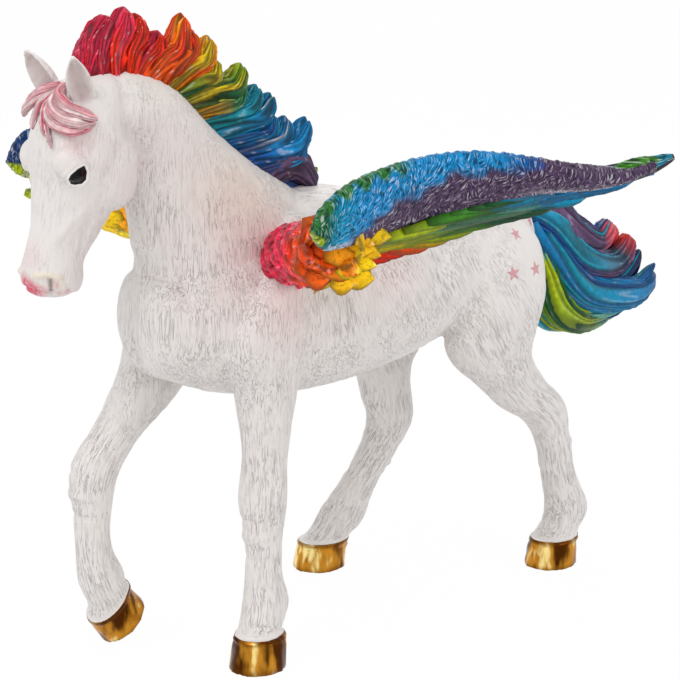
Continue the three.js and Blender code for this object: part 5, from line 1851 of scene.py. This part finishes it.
def refined(points, quads):
    """Each four-sided face cut into four."""
    pairs = np.sort(face_edges(quads), axis=1)
    edges, index = np.unique(pairs, axis=0, return_inverse=True)
    index = index.reshape(4, -1) + len(points)
    middles = points[edges].mean(1)
    centres = points[quads].mean(1)
    c = len(points) + len(edges) + np.arange(len(quads))
    faces = np.concatenate([
        np.stack([quads[:, i], index[i], c, index[i - 1]], 1) for i in range(4)
    ])
    return np.vstack([points, middles, centres]), faces


def open_edges(quads):
    """Directed edges that only one face has."""
    loops = face_edges(quads).astype(np.int64)
    key = loops[:, 0] * (1 << 32) + loops[:, 1]
    back = loops[:, 1] * (1 << 32) + loops[:, 0]
    return loops[~np.isin(back, key)]


def caps_of(points, quads):
    """A fan over each open loop: its middle point, and its faces."""
    follow = {int(b): int(a) for a, b in open_edges(quads)}
    middles, fans = [], []
    while follow:
        start, here = follow.popitem()
        loop = [start]
        while here != start and here in follow:
            loop.append(here)
            here = follow.pop(here)
        if len(loop) > 2:
            middle = len(points) + len(middles)
            middles.append(points[loop].mean(0))
            fans.extend((a, b, middle) for a, b in zip(loop, loop[1:] + loop[:1]))
    return np.array(middles).reshape(-1, 3), fans


def summed_normals(points, quads):
    """Area-weighted normals of the skin alone, without its caps."""
    a, b, c, d = (points[quads[:, i]] for i in range(4))
    face = np.cross(c - a, d - b)
    total = np.zeros_like(points)
    for i in range(4):
        for axis in range(3):
            total[:, axis] += np.bincount(quads[:, i], face[:, axis], minlength=len(points))
    return total


def directions(sums):
    """Summed normals at length 1."""
    return sums / np.maximum(np.linalg.norm(sums, axis=1), 1e-12)[:, None]


def carve_body(mesh):
    """Melts the forms together, but the ears little, and carves the larger muscles."""
    carver = Carver(mesh)
    firm = np.ones(len(carver.points))
    for side in (1, -1):
        root, reach, _across, _out = ear_axes(side)
        gap, _share = distance_to_path(carver.points, [root + 0.25 * reach, root + reach])
        firm = firm - 0.82 * (1 - soft_step(gap, 2.6, 4.4))
    carver.points = melted(carver.points, edges_of(mesh), BODY_MELT, firm)
    carver.refresh()
    for path, width, height in TRUNK_STROKES + HEAD_STROKES:
        carver.stroke(path, width, height, both_sides=True)
    carve_legs(carver)
    carver.refresh()
    relief = ripple(trunk_hair(carver.points) * [1, 1, 2.5], 2.6, 3)
    rough = 0.05 * relief * (1 - soft_step(carver.points[:, 2], 88, 100))
    set_layout_points(mesh, carver.points + carver.normals * rough[:, None])


def make_body():
    """One skin over all the white forms, carved and then cut at the seams."""
    skin = remeshed("white_body", body_forms(), BODY_VOXEL)
    carve_body(skin.data)
    points, quads = mesh_arrays(skin)
    names, label = piece_labels(points[quads].mean(1))
    parts = {}
    for number, name in enumerate(names):
        chosen = quads[label == number]
        used, faces = np.unique(chosen, return_inverse=True)
        parts[name] = (points[used], faces.reshape(-1, 4))
    bpy.data.objects.remove(skin)
    for name in parts:
        if name not in ("torso", "neck"):
            parts[name] = sharpened(*parts[name])
    normals = shared_normals(parts)
    paint_job = white_paint()
    for name, (part_points, faces) in parts.items():
        middles, fans = caps_of(part_points, faces)
        all_faces = [tuple(face) for face in faces.tolist()] + fans
        piece = make_object(name + "_skin", np.vstack([part_points, middles]), all_faces)
        own = np.vstack([normals[name], np.zeros_like(middles)])
        piece.data.normals_split_custom_set_from_vertices(own.tolist())
        body_attributes(piece, name)
        finished(piece, paint_job, "white_body", name)


def sharpened(points, quads):
    """A finer mesh for small carving, with its open edge kept where it was."""
    points, quads = refined(points, quads)
    fixed = np.ones(len(points))
    fixed[np.unique(open_edges(quads))] = 0
    edges = np.unique(np.sort(face_edges(quads), axis=1), axis=0)
    points = melted(points, edges, 2, fixed)
    normals = directions(summed_normals(points, quads))
    for path, width, height in FACE_STROKES:
        for side in (1, -1):
            lift = height * close_to_path(points, np.asarray(path, float) * [side, 1, 1], 0.5 * width)
            points = points + normals * (lift * fixed)[:, None]
    points = hollowed_ears(points, normals)
    for leg in LEGS.values():
        below = hoof_height(points, leg)
        gap = np.linalg.norm(points - np.array(leg["sole"]), axis=1)
        rim = 0.26 * soft_step(below, -0.1, 0.12) - 0.2 * soft_step(below, 0.75, 1.0)
        rim = rim + 0.1 * soft_step(below, 1.2, 2.2)
        points = points + normals * (rim * (gap < 12) * fixed)[:, None]
    return points, quads


def shared_normals(parts):
    """Vertex normals that run on across the seams."""
    totals = {name: summed_normals(points, faces) for name, (points, faces) in parts.items()}
    meet = {}
    for name, (points, faces) in parts.items():
        for v in np.unique(open_edges(faces)):
            key = tuple(np.round(points[v], 3))
            meet.setdefault(key, []).append((name, v))
    for places in meet.values():
        whole = sum(totals[name][v] / np.linalg.norm(totals[name][v]) for name, v in places)
        for name, v in places:
            totals[name][v] = whole
    return {name: directions(total) for name, total in totals.items()}


def star_group():
    """1 inside a five-pointed star on the haunch, at a place given along y and z."""
    tree = bpy.data.node_groups.new("painted_star", "ShaderNodeTree")
    for label in ("Place", "Middle Y", "Middle Z", "Radius", "Turn"):
        kind = "NodeSocketVector" if label == "Place" else "NodeSocketFloat"
        tree.interface.new_socket(label, in_out="INPUT", socket_type=kind)
    tree.interface.new_socket("Inside", in_out="OUTPUT", socket_type="NodeSocketFloat")
    wires = Wires(tree)
    source = tree.nodes.new("NodeGroupInput")
    result = tree.nodes.new("NodeGroupOutput")
    split = tree.nodes.new("ShaderNodeSeparateXYZ")
    tree.links.new(source.outputs["Place"], split.inputs[0])
    u = wires.math("SUBTRACT", split.outputs["Y"], source.outputs["Middle Y"])
    v = wires.math("SUBTRACT", split.outputs["Z"], source.outputs["Middle Z"])
    reach = wires.math("SQRT", wires.math("ADD", wires.math("MULTIPLY", u, u),
                                          wires.math("MULTIPLY", v, v)))
    angle = wires.math("ADD", wires.math("ARCTAN2", u, v), source.outputs["Turn"])
    fold = wires.math("PINGPONG", wires.math("ADD", angle, 4 * math.pi), math.pi / 5)
    # the edge line of a point runs from the tip at angle 0 to the notch at angle 36 degrees
    notch = 0.42
    tip = np.array([1.0, 0.0])
    inner = notch * np.array([math.cos(math.pi / 5), math.sin(math.pi / 5)])
    edge = inner - tip
    normal = np.array([-edge[1], edge[0]])
    normal /= -np.linalg.norm(normal)
    normal *= np.sign(normal @ tip)
    along = wires.math("MULTIPLY", reach, wires.math("COSINE", fold))
    beside = wires.math("MULTIPLY", reach, wires.math("SINE", fold))
    height = wires.math("ADD", wires.math("MULTIPLY", along, float(normal[0])),
                        wires.math("MULTIPLY", beside, float(normal[1])))
    limit = wires.math("MULTIPLY", source.outputs["Radius"], float(normal @ tip))
    gap = wires.math("SUBTRACT", limit, height)
    inside = wires.spread(gap, -0.00004, 0.00004)
    tree.links.new(inside, result.inputs["Inside"])
    return tree


def star_marks(wires, place):
    group = star_group()
    total = 0.0
    for y, z, radius in STARS:
        node = wires.nodes.new("ShaderNodeGroup")
        node.node_tree = group
        wires.links.new(place, node.inputs["Place"])
        node.inputs["Middle Y"].default_value = (y + LAYOUT_SHIFT[1]) * MM
        node.inputs["Middle Z"].default_value = z * MM
        node.inputs["Radius"].default_value = radius * MM
        node.inputs["Turn"].default_value = STAR_TURN
        total = wires.math("ADD", node.outputs["Inside"], total)
    return wires.math("MINIMUM", total, 1.0)


def hair_lines(wires, place):
    """Thin broken lines along the hair, where stretched noises cross their middle values."""
    stretched = wires.scaled(place, (1.0, 1.0, 0.45))
    lines = 0.0
    for scale, width, share in ((1.35, 0.03, 1.0), (2.3, 0.045, 0.7)):
        gap = wires.math("ABSOLUTE", wires.math("SUBTRACT", wires.noise(stretched, scale), 0.5))
        line = wires.math("MULTIPLY", wires.spread(gap, 0.0, width, 1.0, 0.0), share)
        lines = wires.math("MAXIMUM", line, lines)
    broken = wires.spread(wires.noise(place, 1.9), 0.38, 0.56, 0.15, 1.0)
    return wires.math("MULTIPLY", lines, broken)


def carved_hair(wires, place):
    """Depth of the thin short grooves along the two hair layouts."""
    strokes_a = hair_lines(wires, wires.attribute("hair_a", "Vector"))
    strokes_b = hair_lines(wires, wires.attribute("hair_b", "Vector"))
    strokes = wires.blend(wires.attribute("lay"), strokes_a, strokes_b)
    patchy = wires.spread(wires.noise(place, 170.0), 0.3, 0.65, 0.35, 1.2)
    depth = wires.math("MULTIPLY", wires.attribute("coat"), patchy)
    return wires.math("MULTIPLY", strokes, depth)


def rosy_white(wires, place, groove):
    """White with grey grooves, cream and rosy touches, lips, painted shade in the hollows, and stars.
    """
    dabs = wires.spread(wires.noise(place, 1100.0, 2.0), 0.35, 0.6, 0.55, 1.0)
    layers = [
        (groove, 0.2, GROOVE_GREY),
        (wires.spread(wires.noise(place, 70.0, 3.0), 0.45, 0.75, 0.0, 0.10), 1.0, BODY_GREY),
        (wires.attribute("warm"), 0.35, CREAM), (wires.attribute("blush"), 0.4, BLUSH),
        (wires.attribute("lips"), dabs, LIP_ROSE), (wires.attribute("hollow_shade"), 0.8, HOLLOW_SHADE),
        (star_marks(wires, place), 0.85, STAR_ROSE),
    ]
    colour = BODY_WHITE
    for share, strength, layer in layers:
        colour = wires.mix(wires.math("MULTIPLY", share, strength), colour, layer)
    return colour


def hoof_gold(wires, below, streaks):
    """Gold with painted reflections, upright dark bars and pale highlights, darker at the hoof's crown
    and rim.
    """
    gold = wires.mix(wires.spread(streaks, 0.4, 0.54), GOLD_DARK_REFLECTION, GOLD)
    gold = wires.mix(wires.spread(streaks, 0.55, 0.62), gold, GOLD_HIGHLIGHT)
    rims = wires.math("MAXIMUM", wires.spread(below, 0.3, 1.3, 1.0, 0.0),
                      wires.spread(below, 4.8, 6.4))
    return wires.mix(wires.math("MULTIPLY", rims, 0.7), gold, GOLD_RIM)


def white_paint():
    """Satin white with carved hair, gold hooves with painted reflections, glossy eyes, pink lips and
    stars.
    """
    material = bpy.data.materials.new("white_satin_paint")
    material.use_nodes = True
    wires = Wires(material.node_tree)
    shader = wires.nodes["Principled BSDF"]
    place = wires.object_place()
    groove = carved_hair(wires, place)
    colour = rosy_white(wires, place, groove)
    eye = wires.attribute("eye")
    colour = wires.mix(wires.spread(eye, -0.42, -0.3), colour, EYE_WHITE)
    pupil = wires.spread(eye, -0.04, 0.04)
    colour = wires.mix(pupil, colour, EYE_BLACK)
    below = wires.attribute("gold")
    gilt = wires.spread(below, -0.05, 0.05)
    # noise that places the hooves' painted reflections and their small lumps
    streaks = wires.noise(wires.scaled(place, (1.0, 1.0, 0.3)), 230.0, 3.0)
    colour = wires.mix(gilt, colour, hoof_gold(wires, below, streaks))
    rough = wires.blend(pupil, wires.blend(gilt, 0.46, 0.24), 0.06)
    for label, value in (("Base Color", colour), ("Metallic", gilt), ("Roughness", rough),
                         ("Specular IOR Level", wires.blend(pupil, 0.5, 0.15))):
        wires.link(value, shader.inputs[label])
    soft = wires.math("MULTIPLY", wires.noise(place, 420.0, 2.0), 0.12)
    lump = wires.math("MULTIPLY", wires.math("MULTIPLY", streaks, gilt), 0.35)
    height = wires.math("SUBTRACT", wires.math("ADD", soft, lump), groove)
    wires.raised(shader, height, 0.9, 0.00018)
    return material


make_camera()
make_light()
make_floor()
make_body()
make_mane()
make_forelock()
make_tail()
make_wings()
